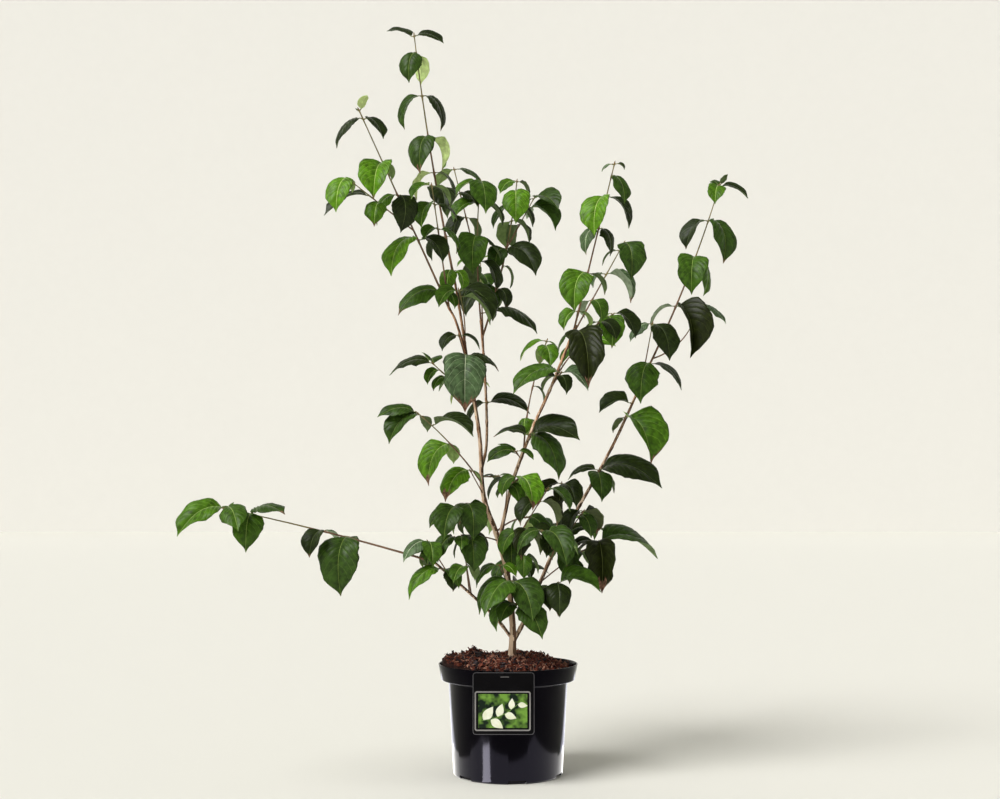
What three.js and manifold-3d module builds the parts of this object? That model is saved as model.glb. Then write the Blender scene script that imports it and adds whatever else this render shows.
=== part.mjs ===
// A young kousa dogwood, several stems from one low trunk, in a round nursery pot.
// Lengths are in millimetres: x to the right, y to the back, z up.
// The origin is the centre of the pot's flat underside.
import * as THREE from 'three';
import { mergeVertices } from 'three/addons/utils/BufferGeometryUtils.js';
import Module from 'manifold-3d';

const wasm = await Module();
wasm.setup();

// Driving dimensions

const clearance = 0.3;

const pot = {
  height: 190,
  rimRadius: 120,
  bandHeight: 27,
  bandFootRadius: 115,
  shoulderRadius: 102.5,
  shoulderDrop: 3,
  baseRadius: 94,
  baseChamfer: 2,
  wall: 2,
  floor: 3,
  sides: 36,
  drain: { count: 6, width: 30, height: 6, depth: 16, firstAngle: -81 },
};

const compost = {
  sides: 24,
  slack: 0.5,
  rimReach: 1.5,
  footHeight: 200,
  footRadius: 13,
  edgeHeight: 186,
  edgeFall: 7,
  ringShares: [0.9, 0.7, 0.48, 0.28],
  lumps: [
    { x: -58, y: 12, height: 17, width: 15 },
    { x: 52, y: 30, height: 9, width: 20 },
    { x: -95, y: -12, height: 10, width: 22 },
    { x: 20, y: 62, height: 8, width: 24 },
    { x: -25, y: -60, height: 5, width: 26 },
  ],
};

const label = {
  width: 100,
  height: 101,
  thickness: 0.9,
  corner: 5,
  left: -58,
  bottom: 87.5,
  tongue: { x: -6, width: 4, reach: 7, wall: 0.9, top: 2, setback: 2.2, root: 3 },
};

// Each limb is one tapering round stem: its place on its parent, the points that it bends through,
// and its radius at both ends.
const limbs = {
  trunk: {
    points: [[7, 0, 200.3], [8, 0, 255], [-2, 4, 348], [-21, 6, 416], [-43, 8, 482], [-50, 11, 588],
      [-73, 10, 728]],
    radius: [5.7, 2.5],
    flare: 2.6,
    sides: 8,
  },
  left_leader: { on: 'trunk', at: 0.985, points: [[-89, 0, 777], [-104, -7, 806]], radius: [2.3, 1.9] },
  centre_leader: { on: 'trunk', at: 0.985, points: [[-80, 11, 778], [-92, 13, 850]], radius: [2.4, 2] },
  back_stem: {
    on: 'trunk', at: 0.735, points: [[-37, 25, 577], [-40, 50, 685], [-48, 70, 795]], radius: [2.5, 2],
  },
  right_stem: {
    on: 'trunk', at: 0.45, radius: [3.3, 2.2],
    points: [[-6, -8, 444], [11, -16, 512], [44, -28, 598], [72, -38, 660], [114, -50, 765]],
  },
  far_right_stem: {
    on: 'trunk', at: 0.08, radius: [3.7, 2.1],
    points: [[33, 10, 272], [52, 20, 318], [85, 42, 390], [129, 70, 464], [194, 98, 580], [261, 120, 725]],
  },
  low_left_bough: {
    on: 'trunk', at: 0.1, points: [[-22, -15, 270], [-73, -40, 320], [-126, -65, 368]], radius: [2.9, 2.1],
  },
};

// Each mass is a leafy stem and the shoots on it. A shoot grows from a place on a limb, or on its mass's
// first stem, to its tip, and its middle is pushed aside by the bow. Its pairs of leaves are listed down
// from the tip: the gap above the pair, the way its first leaf points (degrees from +x, seen from above;
// the second one points the other way), the two blade lengths, and the degrees by which it is lifted.
// A pair with one leaf has a length of 0. age is how far back from its tip a shoot's youth is counted.
const masses = {
  crown_centre: [
    { on: 'centre_leader', at: 0.97, tip: [-164, 26, 1285], bow: [-5, 0, 0],
      pairs: [[3, 350, 50, 0, 12], [1, 168, 52, 0, 36], [31, 245, 66, 54, -32], [76, 350, 74, 74, 2],
        [74, 248, 84, 0, -6], [1, 40, 66, 0, -6], [62, 352, 52, 58], [35, 335, 82, 0, 24],
        [79, 350, 36, 48], [60, 250, 52, 0], [1, 340, 44, 50]] },
  ],
  crown_left: [
    { on: 'left_leader', at: 0.96, tip: [-244, -110, 1105],
      pairs: [[2, 300, 28, 12, 58], [14, 192, 70, 0, -18], [1, 322, 60, 0, -14], [77, 240, 92, 28, -6],
        [54, 212, 66, 0, -4], [1, 305, 68, 0, -16], [78, 218, 98, 0, 20], [1, 328, 72, 0, 20],
        [94, 192, 94, 0, 38], [1, 350, 40, 0]] },
    { on: 'stem', at: 0.4, tip: [-258, -140, 984],
      pairs: [[2, 238, 78, 26, -42], [48, 194, 84, 0, 10], [22, 60, 46, 54, -10]] },
  ],
  crown_back_left: [
    { on: 'back_stem', at: 0.97, tip: [-50, 110, 1054], bow: [-6, 0, 0],
      pairs: [[3, 280, 84, 0, -30], [1, 175, 50, 0], [40, 200, 60, 60], [64, 262, 94, 0, -8],
        [1, 340, 60, 0], [46, 300, 78, 66, -4], [46, 190, 58, 56]] },
    { on: 'stem', at: 0.42, tip: [-98, 130, 1082],
      pairs: [[2, 328, 60, 50, -18], [50, 318, 60, 54, -10], [50, 205, 56, 50, -10]] },
    { on: 'stem', at: 0.08, tip: [-30, 64, 808], age: 60, pairs: [[1, 350, 96, 0, 32]] },
  ],
  crown_back_right: [
    { on: 'back_stem', at: 0.9, tip: [18, 172, 1073], bow: [8, 6, 0],
      pairs: [[3, 205, 48, 34, -20], [22, 265, 84, 50, -24], [30, 210, 66, 60, -12], [34, 300, 70, 54, -10],
        [60, 328, 88, 0, 14], [1, 235, 60, 0], [36, 215, 60, 50, -6], [50, 280, 56, 50]] },
    { on: 'stem', at: 0.56, tip: [50, 194, 1046],
      pairs: [[2, 318, 72, 34, -16], [26, 336, 74, 46, 6], [46, 290, 66, 50, -10]] },
  ],
  fork_shoot: [
    { on: 'centre_leader', at: 0.22, tip: [-84, -26, 828], bow: [4, -8, 0], age: 40,
      pairs: [[2, 335, 92, 0, -8], [1, 200, 50, 0], [10, 20, 76, 0, 16], [1, 160, 54, 0, 10]] },
  ],
  crown_right: [
    { on: 'right_stem', at: 0.985, tip: [171, -130, 1011],
      pairs: [[2, 170, 20, 18, -6], [19, 310, 58, 0, -36], [33, 220, 78, 0, -30], [1, 345, 72, 0, -14],
        [50, 205, 58, 0, -12], [1, 325, 58, 0, -6], [73, 238, 86, 0, -8], [1, 20, 46, 0],
        [64, 205, 42, 46]] },
  ],
  crown_right_inner: [
    { on: 'right_stem', at: 0.955, tip: [200, 0, 915],
      pairs: [[2, 304, 78, 0, -38], [16, 160, 40, 0], [50, 350, 74, 0, -12], [1, 195, 34, 0],
        [56, 310, 50, 34]] },
  ],
  crown_right_side: [
    { on: 'right_stem', at: 0.925, tip: [186, 44, 800], bow: [6, -4, 8], age: 40,
      pairs: [[2, 350, 62, 0, -12], [1, 215, 44, 0, -10], [24, 285, 74, 46, -16], [30, 330, 48, 44]] },
  ],
  right_broad_leaves: [
    { on: 'right_stem', at: 0.965, tip: [114, -78, 748], age: 90,
      pairs: [[1, 292, 118, 0, -16], [1, 170, 48, 0]] },
  ],
  right_thin_shoot: [
    { on: 'right_stem', at: 0.5, tip: [68, 24, 750], bow: [-8, 4, 0], age: 40,
      pairs: [[2, 185, 60, 0], [1, 20, 34, 0], [10, 285, 62, 40, -4], [74, 20, 40, 0],
        [60, 250, 40, 44]] },
  ],
  right_elbow: [
    { on: 'right_stem', at: 0.8, tip: [88, -66, 682], age: 60,
      pairs: [[1, 203, 96, 0, 26], [1, 345, 56, 0, 8], [8, 300, 44, 40]] },
  ],
  right_low_broad: [
    { on: 'right_stem', at: 0.55, tip: [36, -58, 580], age: 60,
      pairs: [[1, 345, 96, 0, 50], [9, 294, 110, 0, -12], [5, 175, 64, 0, 44], [1, 110, 70, 54]] },
  ],
  right_low_upright: [
    { on: 'right_stem', at: 0.47, tip: [13, -40, 552], age: 60,
      pairs: [[1, 190, 56, 30, 24], [8, 225, 46, 0, 62]] },
  ],
  right_low_hanging: [
    { on: 'right_stem', at: 0.35, tip: [18, -50, 508], age: 60,
      pairs: [[1, 308, 76, 0, -8], [1, 190, 48, 0, 6], [8, 262, 56, 50, -6]] },
  ],
  far_right_top: [
    { on: 'far_right_stem', at: 0.985, tip: [394, 152, 1060], bow: [8, 0, 0],
      pairs: [[2, 120, 30, 24, 52], [3, 348, 60, 0, -8], [1, 250, 54, 0, -24], [70, 186, 70, 0, -8],
        [1, 318, 94, 0, -14], [74, 245, 88, 0, -12], [1, 20, 80, 0, -6], [98, 165, 62, 0, 20],
        [1, 303, 120, 0, -10]] },
    { on: 'stem', at: 0.06, tip: [357, 160, 838], bow: [12, 0, -14],
      pairs: [[2, 346, 64, 0, -18], [1, 270, 24, 0]] },
  ],
  far_right_shoot: [
    { on: 'far_right_stem', at: 0.96, tip: [262, 95, 792], age: 20,
      pairs: [[2, 183, 54, 0, 2], [1, 312, 84, 0, -22]] },
  ],
  far_right_broad: [
    { on: 'far_right_stem', at: 0.93, tip: [258, 98, 720], age: 60,
      pairs: [[1, 240, 104, 0, -4], [1, 345, 76, 0, 8]] },
  ],
  far_right_middle: [
    { on: 'far_right_stem', at: 0.79, tip: [224, 84, 648], age: 60,
      pairs: [[2, 185, 60, 0, 32], [28, 310, 114, 0, -2], [1, 100, 44, 0]] },
  ],
  far_right_low: [
    { on: 'far_right_stem', at: 0.74, tip: [162, 62, 526], age: 60,
      pairs: [[1, 352, 116, 0, 36], [1, 172, 58, 0, 34], [8, 234, 80, 0], [1, 60, 54, 0]] },
  ],
  far_right_back: [
    { on: 'far_right_stem', at: 0.6, tip: [160, 262, 420], bow: [0, 0, 24],
      pairs: [[2, 30, 58, 54], [60, 120, 62, 60], [62, 30, 60, 56]] },
  ],
  left_twig: [
    { on: 'trunk', at: 0.7, tip: [-148, -120, 610], bow: [4, 0, 4], age: 40,
      pairs: [[1, 190, 66, 0, 34], [9, 210, 82, 0, 8], [3, 60, 36, 0], [26, 335, 84, 0, 40],
        [1, 190, 54, 0, 30], [54, 208, 86, 0, -8], [1, 70, 44, 0]] },
  ],
  left_spur: [
    { on: 'trunk', at: 0.665, tip: [-64, -30, 520], age: 60, pairs: [[1, 218, 82, 0, 4], [1, 60, 34, 0]] },
  ],
  left_high_twig: [
    { on: 'trunk', at: 0.9, tip: [-125, -75, 696], age: 40,
      pairs: [[1, 192, 80, 0, 36], [1, 125, 54, 0, 50], [22, 198, 38, 0, 10], [20, 30, 40, 36]] },
  ],
  fork_broad: [
    { on: 'trunk', at: 0.94, tip: [-72, -24, 717], age: 120,
      pairs: [[1, 258, 116, 0, -22], [1, 350, 62, 0, 30], [8, 170, 50, 44]] },
  ],
  back_stem_leaf: [
    { on: 'back_stem', at: 0.5, tip: [-36, 26, 642], age: 60, pairs: [[1, 350, 84, 0, 30], [1, 150, 50, 0]] },
  ],
  trunk_spurs: [
    { on: 'trunk', at: 0.72, tip: [-18, 2, 512], pairs: [[1, 340, 28, 22], [12, 250, 26, 24]] },
  ],
  middle_left: [
    { on: 'trunk', at: 0.62, tip: [-86, -60, 456], bow: [0, 0, 6], age: 60,
      pairs: [[1, 188, 56, 0, 12], [1, 245, 80, 0, -2], [24, 278, 72, 0, -6], [1, 110, 54, 44]] },
  ],
  middle_left_low: [
    { on: 'trunk', at: 0.46, tip: [-89, -62, 406], bow: [0, 0, 6], age: 60,
      pairs: [[1, 225, 62, 0], [1, 150, 48, 0], [30, 275, 74, 0, -6], [1, 190, 54, 46]] },
  ],
  middle_left_back: [
    { on: 'trunk', at: 0.54, tip: [-90, 250, 446], bow: [0, 0, 18],
      pairs: [[2, 20, 58, 58], [62, 110, 62, 56], [64, 20, 60, 60]] },
  ],
  middle_right_back: [
    { on: 'trunk', at: 0.5, tip: [86, 232, 424], bow: [0, 0, 22],
      pairs: [[2, 340, 58, 58], [60, 70, 60, 60], [62, 340, 60, 56]] },
  ],
  upper_back: [
    { on: 'trunk', at: 0.86, tip: [-84, 196, 708], bow: [0, 0, 10],
      pairs: [[2, 15, 56, 54], [58, 105, 58, 56]] },
  ],
  right_back: [
    { on: 'right_stem', at: 0.8, tip: [150, 168, 770], bow: [0, 0, 14],
      pairs: [[2, 335, 56, 54], [60, 65, 60, 56]] },
  ],
  top_back: [
    { on: 'back_stem', at: 0.8, tip: [-52, 244, 946],
      pairs: [[2, 20, 52, 50], [58, 110, 56, 56], [58, 20, 56, 54]] },
  ],
  low_left_upright: [
    { on: 'low_left_bough', at: 0.84, tip: [-133, -78, 400], age: 60,
      pairs: [[1, 205, 60, 0], [1, 262, 60, 0, -4], [12, 320, 52, 46], [1, 110, 54, 0, 20],
        [6, 150, 48, 0]] },
  ],
  low_left_front: [
    { on: 'low_left_bough', at: 0.78, tip: [-110, -76, 354], age: 60,
      pairs: [[1, 216, 84, 0, 12], [1, 320, 48, 0], [7, 275, 46, 40]] },
  ],
  low_left_far: [
    { on: 'low_left_bough', at: 0.985, tip: [-452, -160, 454], bow: [0, 0, 4], age: 30,
      pairs: [[2, 202, 88, 0, -2], [1, 300, 76, 0, 4], [5, 100, 34, 28, 40], [34, 332, 80, 0, 46],
        [3, 285, 76, 0, -6], [118, 197, 62, 0, -2], [1, 20, 38, 0, 24], [40, 232, 114, 0, -14],
        [1, 80, 44, 0], [112, 226, 80, 0]] },
  ],
  front_whorl: [
    { on: 'trunk', at: 0.3, tip: [6, -58, 332], age: 60,
      pairs: [[1, 232, 100, 0, -2], [1, 308, 84, 0, -10], [12, 186, 84, 0, 2], [12, 40, 60, 62]] },
  ],
  front_low_whorl: [
    { on: 'trunk', at: 0.22, tip: [14, -66, 294], bow: [0, 0, 5], age: 60,
      pairs: [[1, 288, 80, 0, -14], [1, 228, 52, 0, 20], [6, 335, 58, 0], [8, 190, 60, 56]] },
  ],
  back_low: [
    { on: 'trunk', at: 0.34, tip: [22, 206, 352], bow: [0, 0, 12],
      pairs: [[2, 20, 58, 58], [56, 110, 60, 60], [56, 20, 56, 56]] },
  ],
  inner_right: [
    { on: 'trunk', at: 0.385, tip: [62, -100, 416], bow: [-8, 4, 20], age: 60,
      pairs: [[1, 300, 80, 0, -4], [1, 20, 74, 0, 12], [4, 190, 60, 0, 6], [34, 240, 62, 0],
        [1, 320, 58, 0], [22, 200, 58, 54], [34, 285, 60, 0, -10]] },
    { on: 'stem', at: 0.5, tip: [66, -52, 488], age: 60, pairs: [[2, 320, 66, 44], [24, 5, 56, 54]] },
  ],
  low_right_back: [
    { on: 'far_right_stem', at: 0.36, tip: [161, 34, 400], bow: [0, 0, 4], age: 60,
      pairs: [[2, 4, 114, 0, 36], [1, 314, 116, 0, -22], [4, 215, 72, 0, -4], [1, 165, 60, 0, 30],
        [30, 250, 64, 50, -4], [30, 80, 54, 50]] },
  ],
  low_right_front: [
    { on: 'far_right_stem', at: 0.26, tip: [83, -48, 330], age: 60,
      pairs: [[1, 352, 82, 0, 44], [1, 322, 82, 0, -14], [4, 272, 66, 0, -10], [20, 90, 54, 48]] },
  ],
};

const limbForm = { sides: 6, stepLength: 38, flareShare: 0.03 };

// The lowest leaves stay clear of the limb, at this share of their stem.
const stemForm = { tipRadius: 1, taper: 0.0028, sides: 3, sag: 0.3, firstLeaf: 0.04 };

// A leaf leaves its stem on a stalk, then arches over in an upright plane: it falls away from its first
// rise, most of all near the stalk. A leaf that points sideways rolls its upper face towards the front,
// where the light came from. The blade is keeled under the midrib, and width shares give its outline,
// which is plainer for a small leaf.
const leafForm = {
  stalk: 6,
  stalkRise: 20,
  stalkRadius: 0.8,
  young: { rise: 26, fall: 70 },
  grown: { rise: -8, fall: 88 },
  ageing: 55,
  facing: 24,
  width: 0.62,
  thickness: 0.02,
  small: 65,
  outlines: {
    small: { stations: [0, 0.26, 0.68, 1], widths: [0.04, 0.97, 0.68, 0] },
    large: { stations: [0, 0.16, 0.45, 0.78, 1], widths: [0.04, 0.8, 1, 0.46, 0] },
  },
  jitter: { azimuth: 9, rise: 8, fall: 10, roll: 14, size: 0.07 },
};

// Where a leaf would touch a limb or another leaf it is swung, lifted or made smaller, in this order,
// and left out when none of these clears it: [azimuth, fall, size].
const leafTries = [
  [0, 0, 1], [14, 0, 1], [-14, 0, 1], [26, -10, 0.96], [-26, -10, 0.96], [0, -26, 0.94], [42, 0, 0.9],
  [-42, 0, 0.9], [0, 14, 0.8], [60, -20, 0.75], [-60, -20, 0.75],
];
const leafMargin = 1.2;

const finishes = {
  pot: { color: 0x16151a, roughness: 0.3, metalness: 0 },
  compost: { color: 0x3d2419, roughness: 1, metalness: 0 },
  label: { color: 0x121114, roughness: 0.4, metalness: 0 },
  bark: { color: 0x7d6450, roughness: 0.85, metalness: 0 },
  leaf: { color: 0x3a6428, roughness: 0.5, metalness: 0 },
};

// Solids

function solidOf(geometry) {
  const closed = geometry.clone();
  closed.deleteAttribute('normal');
  closed.deleteAttribute('uv');
  const merged = mergeVertices(closed, 1e-4);
  return new wasm.Manifold(new wasm.Mesh({
    numProp: 3,
    vertProperties: merged.attributes.position.array,
    triVerts: new Uint32Array(merged.index.array),
  }));
}

function geometryOf(solid) {
  const mesh = solid.getMesh();
  return new THREE.BufferGeometry()
    .setAttribute('position', new THREE.BufferAttribute(new Float32Array(mesh.vertProperties), 3))
    .setIndex(new THREE.BufferAttribute(new Uint32Array(mesh.triVerts), 1));
}

function largestBody(solid) {
  return solid.decompose().reduce((best, body) => (body.volume() > best.volume() ? body : best));
}

// Rings of points joined into one closed skin. Each ring runs anticlockwise as seen from the far end,
// and the last one may be a single point.
function loft(rings) {
  const points = rings.flat();
  const faces = [];
  const starts = rings.reduce((list, ring) => [...list, list.at(-1) + ring.length], [0]);
  for (let i = 1; i < rings[0].length - 1; i++) faces.push(0, i + 1, i);
  rings.slice(1).forEach((ring, k) => {
    const [a, b, n] = [starts[k], starts[k + 1], rings[k].length];
    for (let i = 0; i < n; i++) {
      const j = (i + 1) % n;
      if (ring.length === 1) faces.push(a + i, a + j, b);
      else faces.push(a + i, a + j, b + j, a + i, b + j, b + i);
    }
  });
  const last = starts.at(-2);
  for (let i = 1; i < rings.at(-1).length - 1; i++) faces.push(last, last + i, last + i + 1);
  return new THREE.BufferGeometry().setFromPoints(points).setIndex(faces);
}

// A round stem along a curve, its radius given by the share of its length.
function stemGeometry(curve, steps, sides, radiusAt, extra = 0) {
  const frames = curve.computeFrenetFrames(steps, false);
  const rings = [];
  for (let k = 0; k <= steps; k++) {
    const share = k / steps;
    const radius = radiusAt(share) + extra;
    const centre = curve.getPointAt(share).addScaledVector(frames.tangents[k], share === 1 ? extra : 0);
    rings.push(Array.from({ length: sides }, (_, i) => {
      const angle = (2 * Math.PI * i) / sides;
      return centre.clone()
        .addScaledVector(frames.normals[k], radius * Math.cos(angle))
        .addScaledVector(frames.binormals[k], radius * Math.sin(angle));
    }));
  }
  return loft(rings);
}

function randomFrom(seed) {
  let state = seed;
  return () => {
    state = (state + 0x6d2b79f5) | 0;
    let t = Math.imul(state ^ (state >>> 15), 1 | state);
    t = (t + Math.imul(t ^ (t >>> 7), 61 | t)) ^ t;
    return ((t ^ (t >>> 14)) >>> 0) / 4294967296;
  };
}

// Pot, compost and label

function potSolid() {
  const { rimRadius, bandFootRadius, shoulderRadius, baseRadius, height, wall } = pot;
  const bandFoot = height - pot.bandHeight;
  const shoulder = bandFoot - pot.shoulderDrop;
  const profile = [
    [0, 0], [baseRadius - pot.baseChamfer, 0], [baseRadius, pot.baseChamfer], [shoulderRadius, shoulder],
    [bandFootRadius, bandFoot], [rimRadius, height], [rimRadius - wall, height],
    [bandFootRadius - wall, bandFoot + wall], [shoulderRadius - wall, shoulder + wall],
    [baseRadius - wall, pot.floor], [0, pot.floor],
  ].map(([x, y]) => new THREE.Vector2(x, y));
  let body = solidOf(new THREE.LatheGeometry(profile, pot.sides).rotateX(Math.PI / 2));
  const { count, width, height: tall, depth, firstAngle } = pot.drain;
  for (let i = 0; i < count; i++) {
    const notch = new THREE.BoxGeometry(depth, width, 2 * tall)
      .translate(baseRadius, 0, 0)
      .rotateZ(THREE.MathUtils.degToRad(firstAngle + (360 * i) / count));
    body = body.subtract(solidOf(notch));
  }
  return body;
}

function compostHeight(x, y, reach) {
  const share = Math.hypot(x, y) / reach;
  const dome = compost.footHeight - (compost.footHeight - compost.edgeHeight) * share ** 2;
  const rise = compost.lumps.reduce((sum, lump) => {
    const away = Math.hypot(x - lump.x, y - lump.y) / lump.width;
    return sum + lump.height * Math.exp(-away * away);
  }, 0);
  return dome + rise - (compost.edgeFall * share * x) / reach;
}

function compostSolid() {
  const bandFoot = pot.height - pot.bandHeight;
  const shoulder = bandFoot - pot.shoulderDrop;
  const inner = pot.wall + 2 * clearance;
  const reach = pot.bandFootRadius - inner + compost.rimReach;
  const circle = (radius, heightAt) => Array.from({ length: compost.sides }, (_, i) => {
    const angle = (2 * Math.PI * i) / compost.sides;
    const [x, y] = [radius * Math.cos(angle), radius * Math.sin(angle)];
    return new THREE.Vector3(x, y, heightAt(x, y));
  });
  const level = (height) => () => height;
  const surface = (x, y) => compostHeight(x, y, reach);
  return solidOf(loft([
    circle(pot.baseRadius - inner - compost.slack, level(pot.floor + clearance)),
    circle(pot.shoulderRadius - inner - compost.slack, level(shoulder + pot.wall + 1)),
    circle(pot.bandFootRadius - inner - compost.slack, level(bandFoot + pot.wall + compost.rimReach)),
    circle(reach, surface),
    ...compost.ringShares.map((share) => circle(reach * share, surface)),
    circle(compost.footRadius, level(compost.footHeight)),
  ]));
}

function labelSolid() {
  const { width, height, corner, thickness, tongue } = label;
  const card = new THREE.Shape();
  card.moveTo(corner, 0);
  card.lineTo(width - corner, 0);
  card.absarc(width - corner, corner, corner, -Math.PI / 2, 0);
  card.lineTo(width, height - corner);
  card.absarc(width - corner, height - corner, corner, 0, Math.PI / 2);
  card.lineTo(corner, height);
  card.absarc(corner, height - corner, corner, Math.PI / 2, Math.PI);
  card.lineTo(0, corner);
  card.absarc(corner, corner, corner, Math.PI, 1.5 * Math.PI);
  const front = -pot.rimRadius - clearance;
  const sheet = new THREE.ExtrudeGeometry(card, { depth: thickness, bevelEnabled: false, curveSegments: 3 })
    .rotateX(Math.PI / 2)
    .translate(label.left, front, label.bottom);
  const hookTop = pot.height + clearance + tongue.top;
  const strip = (depth, tall, y, z) => solidOf(
    new THREE.BoxGeometry(tongue.width, depth, tall).translate(tongue.x, y + depth / 2, z + tall / 2),
  );
  const inside = -pot.rimRadius + pot.wall + tongue.setback;
  const cardTop = label.bottom + height;
  return solidOf(sheet)
    .add(strip(thickness, hookTop - cardTop + tongue.root, front - thickness, cardTop - tongue.root))
    .add(strip(inside + tongue.wall - front + thickness, tongue.top, front - thickness, hookTop - tongue.top))
    .add(strip(tongue.wall, tongue.reach, inside, hookTop - tongue.reach));
}

// Limbs

const vector = (list) => new THREE.Vector3(...list);

function limbCurve(name) {
  const { on, at, points } = limbs[name];
  const start = on ? [limbCurve(on).getPoint(at)] : [];
  return new THREE.CatmullRomCurve3([...start, ...points.map(vector)], false, 'catmullrom', 0.5);
}

function limbGeometry(name, extra = 0) {
  const { radius: [foot, tip], flare = 0, sides = limbForm.sides } = limbs[name];
  const curve = limbCurve(name);
  const steps = Math.ceil(curve.getLength() / limbForm.stepLength);
  const geometry = stemGeometry(curve, flare ? Math.ceil(1.5 * steps) : steps, sides,
    (share) => foot + (tip - foot) * share + flare * Math.exp(-share / limbForm.flareShare), extra);
  if (!limbs[name].on) {
    const position = geometry.attributes.position;
    for (let i = 0; i < sides; i++) position.setZ(i, limbs[name].points[0][2]);
  }
  return geometry;
}

function limbSolids() {
  const made = {};
  const sleeves = [];
  for (const name of Object.keys(limbs)) {
    const whole = solidOf(limbGeometry(name));
    made[name] = largestBody(sleeves.reduce((rest, sleeve) => rest.subtract(sleeve), whole));
    sleeves.push(solidOf(limbGeometry(name, clearance)));
  }
  return { made, sleeves };
}

// Foliage

function shootCurve(shoot, stemCurve) {
  const parent = shoot.on === 'stem' ? stemCurve : limbCurve(shoot.on);
  const start = parent.getPoint(shoot.at);
  const tip = vector(shoot.tip);
  const middle = start.clone().lerp(tip, 0.5).addScaledVector(vector(shoot.bow ?? [0, 0, 0]), 2);
  return new THREE.QuadraticBezierCurve3(start, middle, tip);
}

// A bowed shoot has as many straight steps as keep it within the sag of its curve.
function shootSolid(curve, length) {
  const root = stemForm.tipRadius + length * stemForm.taper;
  const bow = curve.getPoint(0.5).distanceTo(curve.getPoint(0).lerp(curve.getPoint(1), 0.5));
  const steps = Math.max(1, Math.ceil(Math.sqrt(bow / stemForm.sag)));
  return solidOf(stemGeometry(curve, steps, stemForm.sides,
    (share) => root + (stemForm.tipRadius - root) * share));
}

// One direction in the upright plane of an azimuth, both in degrees.
function heading(azimuth, rise) {
  const [a, r] = [azimuth, rise].map(THREE.MathUtils.degToRad);
  return new THREE.Vector3(Math.cos(r) * Math.cos(a), Math.cos(r) * Math.sin(a), Math.sin(r));
}

// The rings of a leaf, from its root in the stem to its tip. margin widens and thickens the blade for
// the test of its room, which starts past the stalk.
function leafRings({ node, azimuth, rise, fall, roll, length }, margin = 0) {
  const { stalkRadius } = leafForm;
  const { stations, widths } = leafForm.outlines[length < leafForm.small ? 'small' : 'large'];
  const side = heading(azimuth + 90, 0);
  const riseAt = (station) => rise - fall * station * (2 - station);
  const facing = leafForm.facing * Math.cos(THREE.MathUtils.degToRad(azimuth));
  const ring = (centre, forward, width, keel, turn) => {
    const up = forward.clone().cross(side).applyAxisAngle(forward, THREE.MathUtils.degToRad(turn));
    const across = up.clone().cross(forward);
    return [
      centre.clone().addScaledVector(across, width).addScaledVector(up, keel / 3),
      centre.clone().addScaledVector(across, -width).addScaledVector(up, keel / 3),
      centre.clone().addScaledVector(up, (-2 * keel) / 3),
    ];
  };
  const stalk = heading(azimuth, leafForm.stalkRise);
  const place = node.clone().addScaledVector(stalk, leafForm.stalk);
  const rings = margin ? [] : [ring(node, stalk, stalkRadius, 1.5 * stalkRadius, 0)];
  stations.forEach((station, k) => {
    const before = stations[Math.max(0, k - 1)];
    place.addScaledVector(heading(azimuth, riseAt((before + station) / 2)), length * (station - before));
    if (station === 1) {
      rings.push([place.clone()]);
      return;
    }
    const width = Math.max(stalkRadius, (widths[k] * length * leafForm.width) / 2) + margin;
    const keel = Math.max(1.5 * stalkRadius, length * leafForm.thickness) + margin;
    rings.push(ring(place.clone(), heading(azimuth, riseAt(station)), width, keel, facing + roll));
  });
  return rings;
}

function boxesMeet(a, b) {
  return [0, 1, 2].every((i) => a.min[i] <= b.max[i] && b.min[i] <= a.max[i]);
}

function blocked(body, obstacles) {
  const box = body.boundingBox();
  return obstacles.some((other) => boxesMeet(box, other.boundingBox()) && !body.intersect(other).isEmpty());
}

// The leaves of one shoot that find room. Every leaf draws its random numbers first.
function leavesOf(shoot, curve, length, random, obstacles) {
  const { jitter } = leafForm;
  const spread = (range) => range * (2 * random() - 1);
  const kept = [];
  let down = 0;
  shoot.pairs.forEach(([gap, azimuth, first, second, lift = 0]) => {
    down += gap;
    const node = curve.getPoint(Math.max(stemForm.firstLeaf, 1 - down / length));
    const youth = Math.exp(-(down + (shoot.age ?? 0)) / leafForm.ageing);
    const habit = (part) => THREE.MathUtils.lerp(leafForm.grown[part], leafForm.young[part], youth);
    [first, second].forEach((size, side) => {
      const leaf = {
        node,
        azimuth: azimuth + 180 * side + spread(jitter.azimuth),
        rise: habit('rise') + lift + spread(jitter.rise),
        fall: habit('fall') + spread(jitter.fall),
        roll: spread(jitter.roll),
        length: size * (1 + spread(jitter.size)),
      };
      if (!size) return;
      for (const [swing, drop, scale] of leafTries) {
        const tried = {
          ...leaf, azimuth: leaf.azimuth + swing, fall: leaf.fall + drop, length: leaf.length * scale,
        };
        const room = solidOf(loft(leafRings(tried, leafMargin)));
        if (blocked(room, obstacles)) continue;
        obstacles.push(room);
        kept.push(solidOf(loft(leafRings(tried))));
        return;
      }
    });
  });
  return kept;
}

// The stems of a mass, with the curve and length of each.
function stemsOf(shoots) {
  const curves = [];
  for (const shoot of shoots) curves.push(shootCurve(shoot, curves[0]));
  return curves.map((curve, i) => {
    const length = curve.getPoint(0).distanceTo(curve.getPoint(1));
    return { shoot: shoots[i], curve, length, body: shootSolid(curve, length) };
  });
}

function massSolid(stems, seed, sleeves, others) {
  const random = randomFrom(seed);
  const obstacles = [...sleeves, ...others];
  const leaves = stems
    .flatMap(({ shoot, curve, length }) => leavesOf(shoot, curve, length, random, obstacles));
  const joined = [...stems.map(({ body }) => body), ...leaves].reduce((sum, piece) => sum.add(piece));
  return largestBody(sleeves.reduce((rest, sleeve) => rest.subtract(sleeve), joined));
}

// Assembly

const tree = new THREE.Group();

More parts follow.
